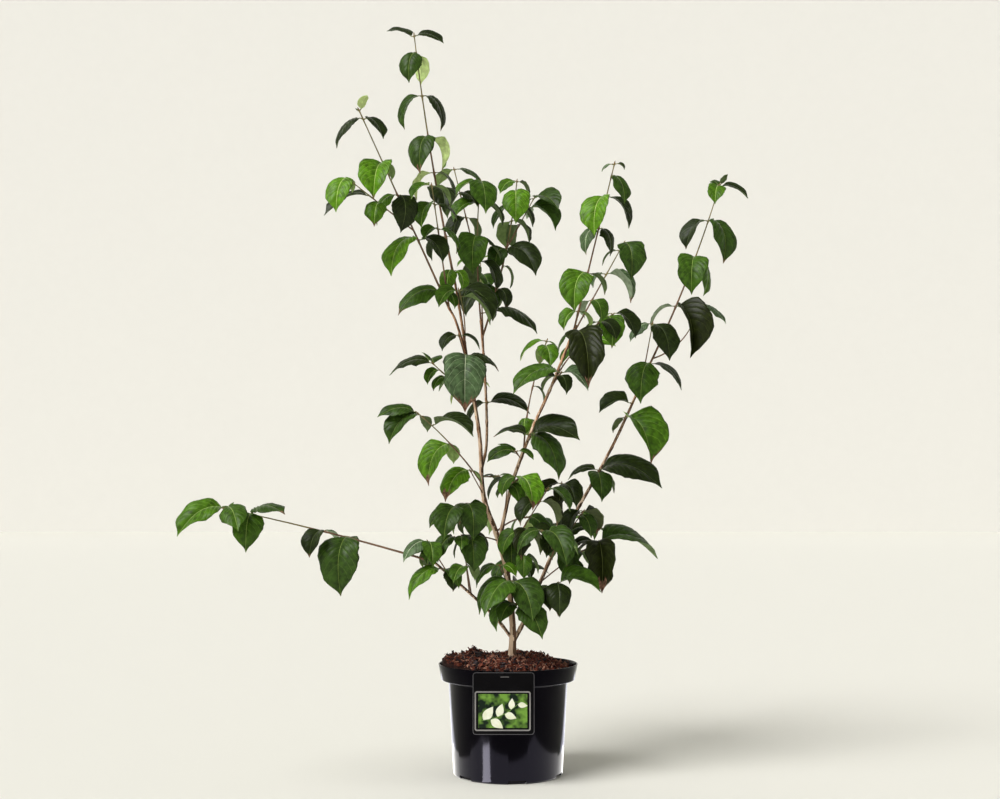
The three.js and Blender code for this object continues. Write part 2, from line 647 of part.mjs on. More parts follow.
function addMesh(name, geometry, finish) {
  const mesh = new THREE.Mesh(geometry, new THREE.MeshStandardMaterial(finish));
  mesh.name = name;
  tree.add(mesh);
}

addMesh('pot', geometryOf(potSolid()), finishes.pot);
addMesh('compost', geometryOf(compostSolid()), finishes.compost);
addMesh('hang_label', geometryOf(labelSolid()), finishes.label);

const { made: limbBodies, sleeves } = limbSolids();
for (const [name, body] of Object.entries(limbBodies)) addMesh(name, geometryOf(body), finishes.bark);

const stemSets = Object.values(masses).map(stemsOf);
const taken = stemSets.flat().map(({ body }) => body);
Object.keys(masses).forEach((name, index) => {
  const body = massSolid(stemSets[index], index + 1, sleeves, taken);
  taken.push(body);
  addMesh(name, geometryOf(body), finishes.leaf);
});

export default tree;
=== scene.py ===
import math
import bpy
import numpy as np
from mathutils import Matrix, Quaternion, Vector, noise
from mathutils.bvhtree import BVHTree


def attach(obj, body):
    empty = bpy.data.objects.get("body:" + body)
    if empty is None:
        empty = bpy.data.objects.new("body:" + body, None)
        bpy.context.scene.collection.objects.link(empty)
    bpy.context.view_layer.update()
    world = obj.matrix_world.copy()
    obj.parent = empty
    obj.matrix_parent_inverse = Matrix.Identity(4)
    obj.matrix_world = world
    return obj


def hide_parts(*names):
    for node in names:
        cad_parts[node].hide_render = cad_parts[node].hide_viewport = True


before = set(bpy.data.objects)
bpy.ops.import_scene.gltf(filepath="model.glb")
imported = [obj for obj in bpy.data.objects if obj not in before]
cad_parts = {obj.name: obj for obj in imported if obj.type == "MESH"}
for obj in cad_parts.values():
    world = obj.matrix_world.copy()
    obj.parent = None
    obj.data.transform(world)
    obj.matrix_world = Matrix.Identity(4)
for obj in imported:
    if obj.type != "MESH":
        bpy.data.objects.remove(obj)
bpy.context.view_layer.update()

# A young kousa dogwood in a nursery pot. Lengths are in millimetres until a mesh is made:
# x to the right, y to the back, z up, from the centre of the pot's underside.
mm = 0.001


def randomFrom(seed):
    # small seeded generator, so every run deals the same numbers
    state = seed & 0xFFFFFFFF

    def draw():
        nonlocal state
        state = (state + 0x6D2B79F5) & 0xFFFFFFFF
        t = ((state ^ (state >> 15)) * (1 | state)) & 0xFFFFFFFF
        t = ((t + (((t ^ (t >> 7)) * (61 | t)) & 0xFFFFFFFF)) & 0xFFFFFFFF) ^ t
        return (t ^ (t >> 14)) / 4294967296
    return draw


def spread(random, size):
    return size * (2 * random() - 1)


def mix(a, b, share):
    return a + (b - a) * share


def circlePoint(radius, angle):
    return radius * math.cos(angle), radius * math.sin(angle)


def circle(radius, sides):
    return [circlePoint(radius, 2 * math.pi * i / sides) for i in range(sides)]


def scatter(random, reach):
    # a random place in a circle, all parts of it as likely
    return circlePoint(reach * math.sqrt(random()), 2 * math.pi * random())


# Materials

def linear(hexCode):
    channels = [int(hexCode[i:i + 2], 16) / 255 for i in (1, 3, 5)]
    return [c / 12.92 if c <= 0.04045 else ((c + 0.055) / 1.055) ** 2.4 for c in channels] + [1]


def addNode(tree, kind, settings=None, links=None):
    # settings are the node's own values or its inputs, links are input name -> output socket
    node = tree.nodes.new(kind)
    for key, value in (settings or {}).items():
        if hasattr(node, key):
            setattr(node, key, value)
        else:
            node.inputs[key].default_value = value
    for key, socket in (links or {}).items():
        tree.links.new(socket, node.inputs[key])
    return node


def newMaterial(name, colours, grain, roughness, specular=0.5, bump=0, bumpGrain=None, contrast=(0.3, 0.7),
        detail=3, stretch=(1, 1, 1), fade=None, ior=1.45, tint="#ffffff"):
    # two colours mixed by a noise, or by the distance along y between the two metres of fade
    # grains and bump are in mm
    material = bpy.data.materials.new(name)
    material.use_nodes = True
    tree = material.node_tree
    tree.nodes.clear()
    place = addNode(tree, "ShaderNodeTexCoord").outputs["Object"]
    scaled = addNode(tree, "ShaderNodeMapping", {"Scale": stretch}, {"Vector": place}).outputs["Vector"]
    if fade:
        axes = addNode(tree, "ShaderNodeSeparateXYZ", {}, {"Vector": place})
        source = addNode(tree, "ShaderNodeMapRange", {"From Min": fade[0], "From Max": fade[1]},
            {"Value": axes.outputs["Y"]}).outputs["Result"]
    else:
        source = addNode(tree, "ShaderNodeTexNoise",
            {"Scale": 1 / (grain * mm), "Detail": detail, "Roughness": 0.55},
            {"Vector": scaled}).outputs["Fac"]
    ramp = addNode(tree, "ShaderNodeValToRGB", {}, {"Fac": source})
    for stop, position, colour in zip(ramp.color_ramp.elements, contrast, colours):
        stop.position = position
        stop.color = linear(colour)
    shader = addNode(tree, "ShaderNodeBsdfPrincipled",
        {"Roughness": roughness, "IOR": ior, "Specular IOR Level": specular, "Specular Tint": linear(tint)},
        {"Base Color": ramp.outputs["Color"]})
    if bump:
        uneven = addNode(tree, "ShaderNodeTexNoise", {"Scale": 1 / ((bumpGrain or grain) * mm), "Detail": 4},
            {"Vector": scaled})
        relief = addNode(tree, "ShaderNodeBump", {"Strength": 0.6, "Distance": bump * mm},
            {"Height": uneven.outputs["Fac"]})
        tree.links.new(relief.outputs["Normal"], shader.inputs["Normal"])
    addNode(tree, "ShaderNodeOutputMaterial", {}, {"Surface": shader.outputs["BSDF"]})
    return material


# Meshes

def newPiece(name, points, triangles, materials, kinds, smooth=True, slot="foliage", replaced=()):
    # triangles are rows of three point numbers, kinds the material number of each
    mesh = bpy.data.meshes.new(name)
    points = np.asarray(points, dtype=np.float64).reshape(-1, 3) * mm
    triangles = np.asarray(triangles, dtype=np.int32).reshape(-1, 3)
    mesh.vertices.add(len(points))
    mesh.vertices.foreach_set("co", points.ravel())
    mesh.loops.add(3 * len(triangles))
    mesh.loops.foreach_set("vertex_index", triangles.ravel())
    mesh.polygons.add(len(triangles))
    mesh.polygons.foreach_set("loop_start", np.arange(0, 3 * len(triangles), 3, dtype=np.int32))
    mesh.polygons.foreach_set("material_index", np.full(len(triangles), kinds, dtype=np.int32))
    mesh.polygons.foreach_set("use_smooth", np.full(len(triangles), smooth))
    mesh.update(calc_edges=True)
    mesh.validate()
    for material in materials:
        mesh.materials.append(material)
    piece = bpy.data.objects.new(name, mesh)
    bpy.context.scene.collection.objects.link(piece)
    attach(piece, "root")
    if replaced:
        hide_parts(*replaced)
    return piece


class Batch:
    # points, triangles and material numbers gathered for one joined piece
    def __init__(self):
        self.points, self.triangles, self.kinds, self.count = [], [], [], 0

    def add(self, points, triangles, kinds):
        self.points.append(np.array(points, dtype=np.float64))
        self.triangles.append(np.array(triangles) + self.count)
        self.kinds.append(np.full(len(triangles), kinds))
        self.count += len(points)

    def piece(self, name, materials, **rest):
        return newPiece(name, np.concatenate(self.points), np.concatenate(self.triangles), materials,
            np.concatenate(self.kinds), **rest)


def quad(a, b, c, d):
    return [(a, b, c), (a, c, d)]


def ringFaces(rings, sides, closed=True):
    # triangles between rings of equal length, with flat ends when closed
    faces = []
    for k in range(rings - 1):
        for i in range(sides):
            j = (i + 1) % sides
            faces += quad(k * sides + i, k * sides + j, (k + 1) * sides + j, (k + 1) * sides + i)
    if closed:
        last = (rings - 1) * sides
        faces += [(0, i + 1, i) for i in range(1, sides - 1)]
        faces += [(last, last + i, last + i + 1) for i in range(1, sides - 1)]
    return np.array(faces, dtype=np.int32)


def tube(path, radii, sides, relief=None):
    # a round stem through the path's points, its rings kept from twisting
    path = [Vector(p) for p in path]
    tangents = [(after - before).normalized() for before, after in zip(path[:1] + path, path[1:] + path[-1:])]
    normal = tangents[0].orthogonal().normalized()
    points = []
    for k, (centre, tangent) in enumerate(zip(path, tangents)):
        normal = (normal - tangent * normal.dot(tangent)).normalized()
        binormal = tangent.cross(normal)
        for i in range(sides):
            angle = 2 * math.pi * i / sides
            u, v = circlePoint(radii[k] + (relief(k, angle) if relief else 0), angle)
            points.append(centre + normal * u + binormal * v)
    return np.array(points), ringFaces(len(path), sides)


# Limbs and masses of leaves, the same as in the part's solids

def shoot(on, at, tip, *pairs, tones="", bow=(0, 0, 0), age=0):
    return dict(on=on, at=at, tip=tip, pairs=pairs, tones=tones, bow=bow, age=age)


limbs = dict(
    trunk=dict(radius=(5.7, 2.5), flare=2.6, points=((7, 0, 200.3), (8, 0, 255), (-2, 4, 348), (-21, 6, 416),
        (-43, 8, 482), (-50, 11, 588), (-73, 10, 728))),
    left_leader=dict(on="trunk", at=0.985, radius=(2.3, 1.9), points=((-89, 0, 777), (-104, -7, 806))),
    centre_leader=dict(on="trunk", at=0.985, radius=(2.4, 2), points=((-80, 11, 778), (-92, 13, 850))),
    back_stem=dict(on="trunk", at=0.735, radius=(2.5, 2), points=((-37, 25, 577), (-40, 50, 685),
        (-48, 70, 795))),
    right_stem=dict(on="trunk", at=0.45, radius=(3.3, 2.2),
        points=((-6, -8, 444), (11, -16, 512), (44, -28, 598), (72, -38, 660), (114, -50, 765))),
    far_right_stem=dict(on="trunk", at=0.08, radius=(3.7, 2.1), points=((33, 10, 272), (52, 20, 318),
        (85, 42, 390), (129, 70, 464), (194, 98, 580), (261, 120, 725))),
    low_left_bough=dict(on="trunk", at=0.1, radius=(2.9, 2.1),
        points=((-22, -15, 270), (-73, -40, 320), (-126, -65, 368))),
)

# Each mass is a leafy stem and the shoots on it. A shoot grows from a place on a limb, or on its mass's
# first stem, to its tip, and its middle is pushed aside by the bow. Its pairs of leaves are listed down
# from the tip: the gap above the pair, the way its first leaf points (degrees from +x, seen from above; the
# second one points the other way), the two blade lengths, and the degrees by which it is lifted. A pair
# with one leaf has a length of 0. tones has a letter for the shade of each leaf: d dark, e deep, m mid,
# f fresh, b bright, g grey, o old, a capital when its tip is brown; leaves without one take theirs by age.
# age is how far back from its tip a shoot's youth counts.
masses = dict(
    crown_centre=[shoot("centre_leader", 0.97, (-164, 26, 1285), (3, 350, 50, 0, 12), (1, 168, 52, 0, 36),
        (31, 245, 66, 54, -32), (76, 350, 74, 74, 2), (74, 248, 84, 0, -6), (1, 40, 66, 0, -6),
        (62, 352, 52, 58), (35, 335, 82, 0, 24), (79, 350, 36, 48), (60, 250, 52, 0), (1, 340, 44, 50),
        tones="ddebdeebdbdedfbb", bow=(-5, 0, 0))],
    crown_left=[
        shoot("left_leader", 0.96, (-244, -110, 1105), (2, 300, 28, 12, 58), (14, 192, 70, 0, -18),
            (1, 322, 60, 0, -14), (77, 240, 92, 28, -6), (54, 212, 66, 0, -4), (1, 305, 68, 0, -16),
            (78, 218, 98, 0, 20), (1, 328, 72, 0, 20), (94, 192, 94, 0, 38), (1, 350, 40, 0),
            tones="beddbefdbdmm"),
        shoot("stem", 0.4, (-258, -140, 984), (2, 238, 78, 26, -42), (48, 194, 84, 0, 10),
            (22, 60, 46, 54, -10), tones="bmdff"),
    ],
    crown_back_left=[
        shoot("back_stem", 0.97, (-50, 110, 1054), (3, 280, 84, 0, -30), (1, 175, 50, 0), (40, 200, 60, 60),
            (64, 262, 94, 0, -8), (1, 340, 60, 0), (46, 300, 78, 66, -4), (46, 190, 58, 56),
            tones="mbfdmddddedd", bow=(-6, 0, 0)),
        shoot("stem", 0.42, (-98, 130, 1082), (2, 328, 60, 50, -18), (50, 318, 60, 54, -10),
            (50, 205, 56, 50, -10), tones="emdddd"),
        shoot("stem", 0.08, (-30, 64, 808), (1, 350, 96, 0, 32), tones="d", age=60),
    ],
    crown_back_right=[
        shoot("back_stem", 0.9, (18, 172, 1073), (3, 205, 48, 34, -20), (22, 265, 84, 50, -24),
            (30, 210, 66, 60, -12), (34, 300, 70, 54, -10), (60, 328, 88, 0, 14), (1, 235, 60, 0),
            (36, 215, 60, 50, -6), (50, 280, 56, 50), tones="fdbdeddedeeddd", bow=(8, 6, 0)),
        shoot("stem", 0.56, (50, 194, 1046), (2, 318, 72, 34, -16), (26, 336, 74, 46, 6),
            (46, 290, 66, 50, -10), tones="edegdd"),
    ],
    fork_shoot=[shoot("centre_leader", 0.22, (-84, -26, 828), (2, 335, 92, 0, -8), (1, 200, 50, 0),
        (10, 20, 76, 0, 16), (1, 160, 54, 0, 10), tones="dmem", bow=(4, -8, 0), age=40)],
    crown_right=[shoot("right_stem", 0.985, (171, -130, 1011), (2, 170, 20, 18, -6), (19, 310, 58, 0, -36),
        (33, 220, 78, 0, -30), (1, 345, 72, 0, -14), (50, 205, 58, 0, -12), (1, 325, 58, 0, -6),
        (73, 238, 86, 0, -8), (1, 20, 46, 0), (64, 205, 42, 46), tones="gdebdgdfdfm")],
    crown_right_inner=[shoot("right_stem", 0.955, (200, 0, 915), (2, 304, 78, 0, -38), (16, 160, 40, 0),
        (50, 350, 74, 0, -12), (1, 195, 34, 0), (56, 310, 50, 34), tones="edggmg")],
    crown_right_side=[shoot("right_stem", 0.925, (186, 44, 800), (2, 350, 62, 0, -12), (1, 215, 44, 0, -10),
        (24, 285, 74, 46, -16), (30, 330, 48, 44), tones="dffmdd", bow=(6, -4, 8), age=40)],
    right_broad_leaves=[shoot("right_stem", 0.965, (114, -78, 748), (1, 292, 118, 0, -16), (1, 170, 48, 0),
        tones="oe", age=90)],
    right_thin_shoot=[shoot("right_stem", 0.5, (68, 24, 750), (2, 185, 60, 0), (1, 20, 34, 0),
        (10, 285, 62, 40, -4), (74, 20, 40, 0), (60, 250, 40, 44), tones="bmfmdfm", bow=(-8, 4, 0),
        age=40)],
    right_elbow=[shoot("right_stem", 0.8, (88, -66, 682), (1, 203, 96, 0, 26), (1, 345, 56, 0, 8),
        (8, 300, 44, 40), tones="mgdd", age=60)],
    right_low_broad=[shoot("right_stem", 0.55, (36, -58, 580), (1, 345, 96, 0, 50), (9, 294, 110, 0, -12),
        (5, 175, 64, 0, 44), (1, 110, 70, 54), tones="deddd", age=60)],
    right_low_upright=[shoot("right_stem", 0.47, (13, -40, 552), (1, 190, 56, 30, 24), (8, 225, 46, 0, 62),
        tones="emm", age=60)],
    right_low_hanging=[shoot("right_stem", 0.35, (18, -50, 508), (1, 308, 76, 0, -8), (1, 190, 48, 0, 6),
        (8, 262, 56, 50, -6), tones="Bmfm", age=60)],
    far_right_top=[
        shoot("far_right_stem", 0.985, (394, 152, 1060), (2, 120, 30, 24, 52), (3, 348, 60, 0, -8),
            (1, 250, 54, 0, -24), (70, 186, 70, 0, -8), (1, 318, 94, 0, -14), (74, 245, 88, 0, -12),
            (1, 20, 80, 0, -6), (98, 165, 62, 0, 20), (1, 303, 120, 0, -10), tones="eddfdemmgo",
            bow=(8, 0, 0)),
        shoot("stem", 0.06, (357, 160, 838), (2, 346, 64, 0, -18), (1, 270, 24, 0), tones="gd",
            bow=(12, 0, -14)),
    ],
    far_right_shoot=[shoot("far_right_stem", 0.96, (262, 95, 792), (2, 183, 54, 0, 2), (1, 312, 84, 0, -22),
        tones="gd", age=20)],
    far_right_broad=[shoot("far_right_stem", 0.93, (258, 98, 720), (1, 240, 104, 0, -4), (1, 345, 76, 0, 8),
        tones="md", age=60)],
    far_right_middle=[shoot("far_right_stem", 0.79, (224, 84, 648), (2, 185, 60, 0, 32),
        (28, 310, 114, 0, -2), (1, 100, 44, 0), tones="dfd", age=60)],
    far_right_low=[shoot("far_right_stem", 0.74, (162, 62, 526), (1, 352, 116, 0, 36), (1, 172, 58, 0, 34),
        (8, 234, 80, 0), (1, 60, 54, 0), tones="dded", age=60)],
    far_right_back=[shoot("far_right_stem", 0.6, (160, 262, 420), (2, 30, 58, 54), (60, 120, 62, 60),
        (62, 30, 60, 56), bow=(0, 0, 24))],
    left_twig=[shoot("trunk", 0.7, (-148, -120, 610), (1, 190, 66, 0, 34), (9, 210, 82, 0, 8), (3, 60, 36, 0),
        (26, 335, 84, 0, 40), (1, 190, 54, 0, 30), (54, 208, 86, 0, -8), (1, 70, 44, 0), tones="eedddBm",
        bow=(4, 0, 4), age=40)],
    left_spur=[shoot("trunk", 0.665, (-64, -30, 520), (1, 218, 82, 0, 4), (1, 60, 34, 0), tones="Bm",
        age=60)],
    left_high_twig=[shoot("trunk", 0.9, (-125, -75, 696), (1, 192, 80, 0, 36), (1, 125, 54, 0, 50),
        (22, 198, 38, 0, 10), (20, 30, 40, 36), tones="demdm", age=40)],
    fork_broad=[shoot("trunk", 0.94, (-72, -24, 717), (1, 258, 116, 0, -22), (1, 350, 62, 0, 30),
        (8, 170, 50, 44), tones="Gddd", age=120)],
    back_stem_leaf=[shoot("back_stem", 0.5, (-36, 26, 642), (1, 350, 84, 0, 30), (1, 150, 50, 0), tones="dd",
        age=60)],
    trunk_spurs=[shoot("trunk", 0.72, (-18, 2, 512), (1, 340, 28, 22), (12, 250, 26, 24), tones="mdfd")],
    middle_left=[shoot("trunk", 0.62, (-86, -60, 456), (1, 188, 56, 0, 12), (1, 245, 80, 0, -2),
        (24, 278, 72, 0, -6), (1, 110, 54, 44), tones="eeede", bow=(0, 0, 6), age=60)],
    middle_left_low=[shoot("trunk", 0.46, (-89, -62, 406), (1, 225, 62, 0), (1, 150, 48, 0),
        (30, 275, 74, 0, -6), (1, 190, 54, 46), tones="ededd", bow=(0, 0, 6), age=60)],
    middle_left_back=[shoot("trunk", 0.54, (-90, 250, 446), (2, 20, 58, 58), (62, 110, 62, 56),
        (64, 20, 60, 60), bow=(0, 0, 18))],
    middle_right_back=[shoot("trunk", 0.5, (86, 232, 424), (2, 340, 58, 58), (60, 70, 60, 60),
        (62, 340, 60, 56), bow=(0, 0, 22))],
    upper_back=[shoot("trunk", 0.86, (-84, 196, 708), (2, 15, 56, 54), (58, 105, 58, 56), bow=(0, 0, 10))],
    right_back=[shoot("right_stem", 0.8, (150, 168, 770), (2, 335, 56, 54), (60, 65, 60, 56),
        bow=(0, 0, 14))],
    top_back=[shoot("back_stem", 0.8, (-52, 244, 946), (2, 20, 52, 50), (58, 110, 56, 56), (58, 20, 56, 54))],
    low_left_upright=[shoot("low_left_bough", 0.84, (-133, -78, 400), (1, 205, 60, 0), (1, 262, 60, 0, -4),
        (12, 320, 52, 46), (1, 110, 54, 0, 20), (6, 150, 48, 0), tones="gmeeedd", age=60)],
    low_left_front=[shoot("low_left_bough", 0.78, (-110, -76, 354), (1, 216, 84, 0, 12), (1, 320, 48, 0),
        (7, 275, 46, 40), tones="fmde", age=60)],
    low_left_far=[shoot("low_left_bough", 0.985, (-452, -160, 454), (2, 202, 88, 0, -2), (1, 300, 76, 0, 4),
        (5, 100, 34, 28, 40), (34, 332, 80, 0, 46), (3, 285, 76, 0, -6), (118, 197, 62, 0, -2),
        (1, 20, 38, 0, 24), (40, 232, 114, 0, -14), (1, 80, 44, 0), (112, 226, 80, 0), tones="fmmmemdgedm",
        bow=(0, 0, 4), age=30)],
    front_whorl=[shoot("trunk", 0.3, (6, -58, 332), (1, 232, 100, 0, -2), (1, 308, 84, 0, -10),
        (12, 186, 84, 0, 2), (12, 40, 60, 62), tones="memdd", age=60)],
    front_low_whorl=[shoot("trunk", 0.22, (14, -66, 294), (1, 288, 80, 0, -14), (1, 228, 52, 0, 20),
        (6, 335, 58, 0), (8, 190, 60, 56), tones="eedmde", bow=(0, 0, 5), age=60)],
    back_low=[shoot("trunk", 0.34, (22, 206, 352), (2, 20, 58, 58), (56, 110, 60, 60), (56, 20, 56, 56),
        bow=(0, 0, 12))],
    inner_right=[
        shoot("trunk", 0.385, (62, -100, 416), (1, 300, 80, 0, -4), (1, 20, 74, 0, 12), (4, 190, 60, 0, 6),
            (34, 240, 62, 0), (1, 320, 58, 0), (22, 200, 58, 54), (34, 285, 60, 0, -10), tones="emeodmoed",
            bow=(-8, 4, 20), age=60),
        shoot("stem", 0.5, (66, -52, 488), (2, 320, 66, 44), (24, 5, 56, 54), tones="edod", age=60),
    ],
    low_right_back=[shoot("far_right_stem", 0.36, (161, 34, 400), (2, 4, 114, 0, 36), (1, 314, 116, 0, -22),
        (4, 215, 72, 0, -4), (1, 165, 60, 0, 30), (30, 250, 64, 50, -4), (30, 80, 54, 50), tones="eOodeeoed",
        bow=(0, 0, 4), age=60)],
    low_right_front=[shoot("far_right_stem", 0.26, (83, -48, 330), (1, 352, 82, 0, 44), (1, 322, 82, 0, -14),
        (4, 272, 66, 0, -10), (20, 90, 54, 48), tones="mdOede", age=60)],
)

# Curves

def catmullRom(points, t):
    last = len(points) - 1
    along = min(t, 1) * last
    i = min(int(along), last - 1)
    w = along - i
    p1, p2 = points[i], points[i + 1]
    p0 = points[i - 1] if i else 2 * p1 - p2
    p3 = points[i + 2] if i + 2 <= last else 2 * p2 - p1
    a, b = 0.5 * (p2 - p0), 0.5 * (p3 - p1)
    return p1 + a * w + (-3 * p1 + 3 * p2 - 2 * a - b) * w ** 2 + (2 * p1 - 2 * p2 + a + b) * w ** 3


def limbPoint(name, t):
    limb = limbs[name]
    points = [Vector(p) for p in limb["points"]]
    if "on" in limb:
        points.insert(0, limbPoint(limb["on"], limb["at"]))
    return catmullRom(points, t)


def evenly(pointAt, steps, samples=200):
    # points at even lengths along a curve, and the length of the whole
    fine = [pointAt(i / samples) for i in range(samples + 1)]
    run = np.concatenate([[0], np.cumsum([(b - a).length for a, b in zip(fine, fine[1:])])])
    shares = np.interp(np.linspace(0, run[-1], steps + 1), run, np.linspace(0, 1, samples + 1))
    return [pointAt(float(s)) for s in shares], run[-1]


def bezier(start, middle, tip, t):
    return start * (1 - t) ** 2 + middle * (2 * t * (1 - t)) + tip * t * t


def shootCurve(shoot, stem=None):
    start = stem(shoot["at"]) if shoot["on"] == "stem" else limbPoint(shoot["on"], shoot["at"])
    tip = Vector(shoot["tip"])
    middle = start.lerp(tip, 0.5) + 2 * Vector(shoot["bow"])
    return lambda t: bezier(start, middle, tip, t)


# The leaf rule, as in the solids

limbForm = dict(clearance=0.3, flareShare=0.03, steps=40, sides=8)
stemForm = dict(tipRadius=1, taper=0.0028, firstLeaf=0.04, steps=12, sides=3)
leafForm = dict(
    stalk=6, stalkRise=20, stalkRadius=0.8,
    young=dict(rise=26, fall=70), grown=dict(rise=-8, fall=88),
    ageing=55, facing=24, width=0.62, thickness=0.02, small=65, margin=1.2,
    outlines=dict(
        small=dict(stations=(0, 0.26, 0.68, 1), widths=(0.04, 0.97, 0.68, 0)),
        large=dict(stations=(0, 0.16, 0.45, 0.78, 1), widths=(0.04, 0.8, 1, 0.46, 0)),
    ),
    jitter=dict(azimuth=9, rise=8, fall=10, roll=14, size=0.07),
    # what a leaf tries when something is in its way: a turn, a change of its fall and a share of its length
    tries=((0, 0, 1), (14, 0, 1), (-14, 0, 1), (26, -10, 0.96), (-26, -10, 0.96), (0, -26, 0.94),
        (42, 0, 0.9), (-42, 0, 0.9), (0, 14, 0.8), (60, -20, 0.75), (-60, -20, 0.75)),
)


def heading(azimuth, rise):
    a, r = math.radians(azimuth), math.radians(rise)
    return Vector((math.cos(r) * math.cos(a), math.cos(r) * math.sin(a), math.sin(r)))


def riseAt(leaf, station):
    return leaf["rise"] - leaf["fall"] * station * (2 - station)


def bladeFrame(leaf, station, twist=0):
    # forward, across and up at a station of the midrib
    forward = heading(leaf["azimuth"], riseAt(leaf, station))
    side = heading(leaf["azimuth"] + 90, 0)
    turn = leafForm["facing"] * math.cos(math.radians(leaf["azimuth"])) + leaf["roll"] + twist
    up = Quaternion(forward, math.radians(turn)) @ forward.cross(side)
    return forward, up.cross(forward), up


def stalkEnd(leaf):
    return leaf["node"] + heading(leaf["azimuth"], leafForm["stalkRise"]) * leafForm["stalk"]


def midrib(leaf, stations):
    path = [stalkEnd(leaf)]
    for before, station in zip(stations, stations[1:]):
        step = leaf["length"] * (station - before)
        path.append(path[-1] + heading(leaf["azimuth"], riseAt(leaf, (before + station) / 2)) * step)
    return path


class Obstacle:
    def __init__(self, points, faces):
        array = np.array(points)
        self.low, self.high = array.min(0), array.max(0)
        corners, sides = [tuple(p) for p in points], [tuple(int(i) for i in f) for f in faces]
        self.tree = BVHTree.FromPolygons(corners, sides)

    def touches(self, other):
        return (np.all(self.low <= other.high) and np.all(other.low <= self.high)
            and bool(self.tree.overlap(other.tree)))


def roomOf(leaf):
    # the plain blade with a margin all round, to test that the leaf has room
    outline = leafForm["outlines"]["small" if leaf["length"] < leafForm["small"] else "large"]
    stations, points, faces = outline["stations"], [], []
    path = midrib(leaf, stations)
    for station, share, place in zip(stations[:-1], outline["widths"], path):
        _, across, up = bladeFrame(leaf, station)
        width = share * leaf["length"] * leafForm["width"] / 2
        width = max(leafForm["stalkRadius"], width) + leafForm["margin"]
        keel = max(1.5 * leafForm["stalkRadius"], leaf["length"] * leafForm["thickness"]) + leafForm["margin"]
        points += [place + across * width + up * keel / 3, place - across * width + up * keel / 3,
            place - up * keel * 2 / 3]
    for k in range(len(stations) - 2):
        for i in range(3):
            a, b = 3 * k + i, 3 * k + (i + 1) % 3
            faces += quad(a, b, b + 3, a + 3)
    last = 3 * (len(stations) - 2)
    faces += [(0, 2, 1)] + [(last + i, last + (i + 1) % 3, last + 3) for i in range(3)]
    return Obstacle(points + path[-1:], faces)


def leavesOf(stem, random, obstacles):
    # the leaves that find room along a stem
    jitter, kept, down, number = leafForm["jitter"], [], 0, 0
    for gap, azimuth, first, second, *lift in stem["shoot"]["pairs"]:
        down += gap
        node = stem["curve"](max(stemForm["firstLeaf"], 1 - down / stem["length"]))
        youth = math.exp(-(down + stem["shoot"]["age"]) / leafForm["ageing"])
        grownLeaf, youngLeaf = leafForm["grown"], leafForm["young"]
        rise, fall = (mix(grownLeaf[part], youngLeaf[part], youth) for part in ("rise", "fall"))
        for side, size in enumerate((first, second)):
            leaf = dict(node=node, youth=youth)
            leaf["azimuth"] = azimuth + 180 * side + spread(random, jitter["azimuth"])
            leaf["rise"] = rise + sum(lift) + spread(random, jitter["rise"])
            leaf["fall"] = fall + spread(random, jitter["fall"])
            leaf["roll"] = spread(random, jitter["roll"])
            leaf["length"] = size * (1 + spread(random, jitter["size"]))
            if not size:
                continue
            leaf["number"], number = number, number + 1
            for turn, drop, scale in leafForm["tries"]:
                tried = dict(leaf, azimuth=leaf["azimuth"] + turn, fall=leaf["fall"] + drop,
                    length=leaf["length"] * scale)
                room = roomOf(tried)
                if not any(room.touches(other) for other in obstacles):
                    obstacles.append(room)
                    kept.append(tried)
                    break
    return kept


# The blade: rows follow the veins that curve from the midrib towards the tip

blade = dict(
    veins=(0.03, 0.085, 0.16, 0.255, 0.375, 0.52),  # where they leave the midrib, as shares of the length
    veinWidth=0.0075,  # 0.4 mm in life, drawn about 0.6 mm so that it shows
    sweep=0.36, sweepLead=2.6, sweepCurve=2.4,
    tipRows=(0.66, 0.76, 0.84, 0.9, 0.94, 0.97, 1),
    columns=(0.24, 0.5, 0.75, 0.91, 1),
    outline=((0, 0), (0.012, 0.2), (0.04, 0.46), (0.09, 0.7), (0.16, 0.88), (0.26, 0.98), (0.35, 1),
        (0.47, 0.98), (0.58, 0.92), (0.68, 0.78), (0.77, 0.57), (0.84, 0.35), (0.895, 0.17), (0.94, 0.08),
        (0.97, 0.045), (1, 0)),
    ribSteps=32, ribWidth=0.6, ribTaper=0.7, ribMost=0.3, ribHeight=0.5, ribDrop=0.6, ribSink=0.6,
    twist=30, uneven=0.06,
    nick=0.035, nickSize=(0.4, 1.6), nickTurns=((1.5, 3), (4, 7)), fineNick=0.6,
    fold=0.52, foldRange=(0.5, 1.5),
    droop=0.42, droopRange=(0.3, 1.7), droopCurve=3.2,
    wave=0.034, waveRange=(0.2, 1.3), waveTurns=(1.2, 3), waveLag=1.1, waveHeight=0.6,
    puff=0.021, puffCurve=0.6,  # how far the blade stands up between its veins, as a share of the length
    thickness=0.45,
    # what changes in an old leaf
    old=dict(width=0.78, nick=2.2, fold=2.1, droop=1.5, wave=2),
    other=dict(width=1, nick=1, fold=1, droop=1, wave=1),
)


def bladeRows():
    rows, kinds = [0], []
    veins, half = blade["veins"], blade["veinWidth"] / 2
    for vein, end in zip(veins, veins[1:] + blade["tipRows"]):
        rows += [vein - half, vein + half, (vein + end) / 2]
        kinds += ["blade", "vein", "blade"]
    return np.array(rows + list(blade["tipRows"])), kinds + ["blade"] * len(blade["tipRows"])


def sweepTo(rows, columns):
    # station of each row and column: a vein runs forward as it nears the margin
    lead = blade["sweepLead"] * np.sqrt(rows) * (1 - rows)
    reach = 0.5 * np.abs(columns) + 0.5 * np.abs(columns) ** blade["sweepCurve"]
    return rows[:, None] + blade["sweep"] * lead[:, None] * reach[None, :]


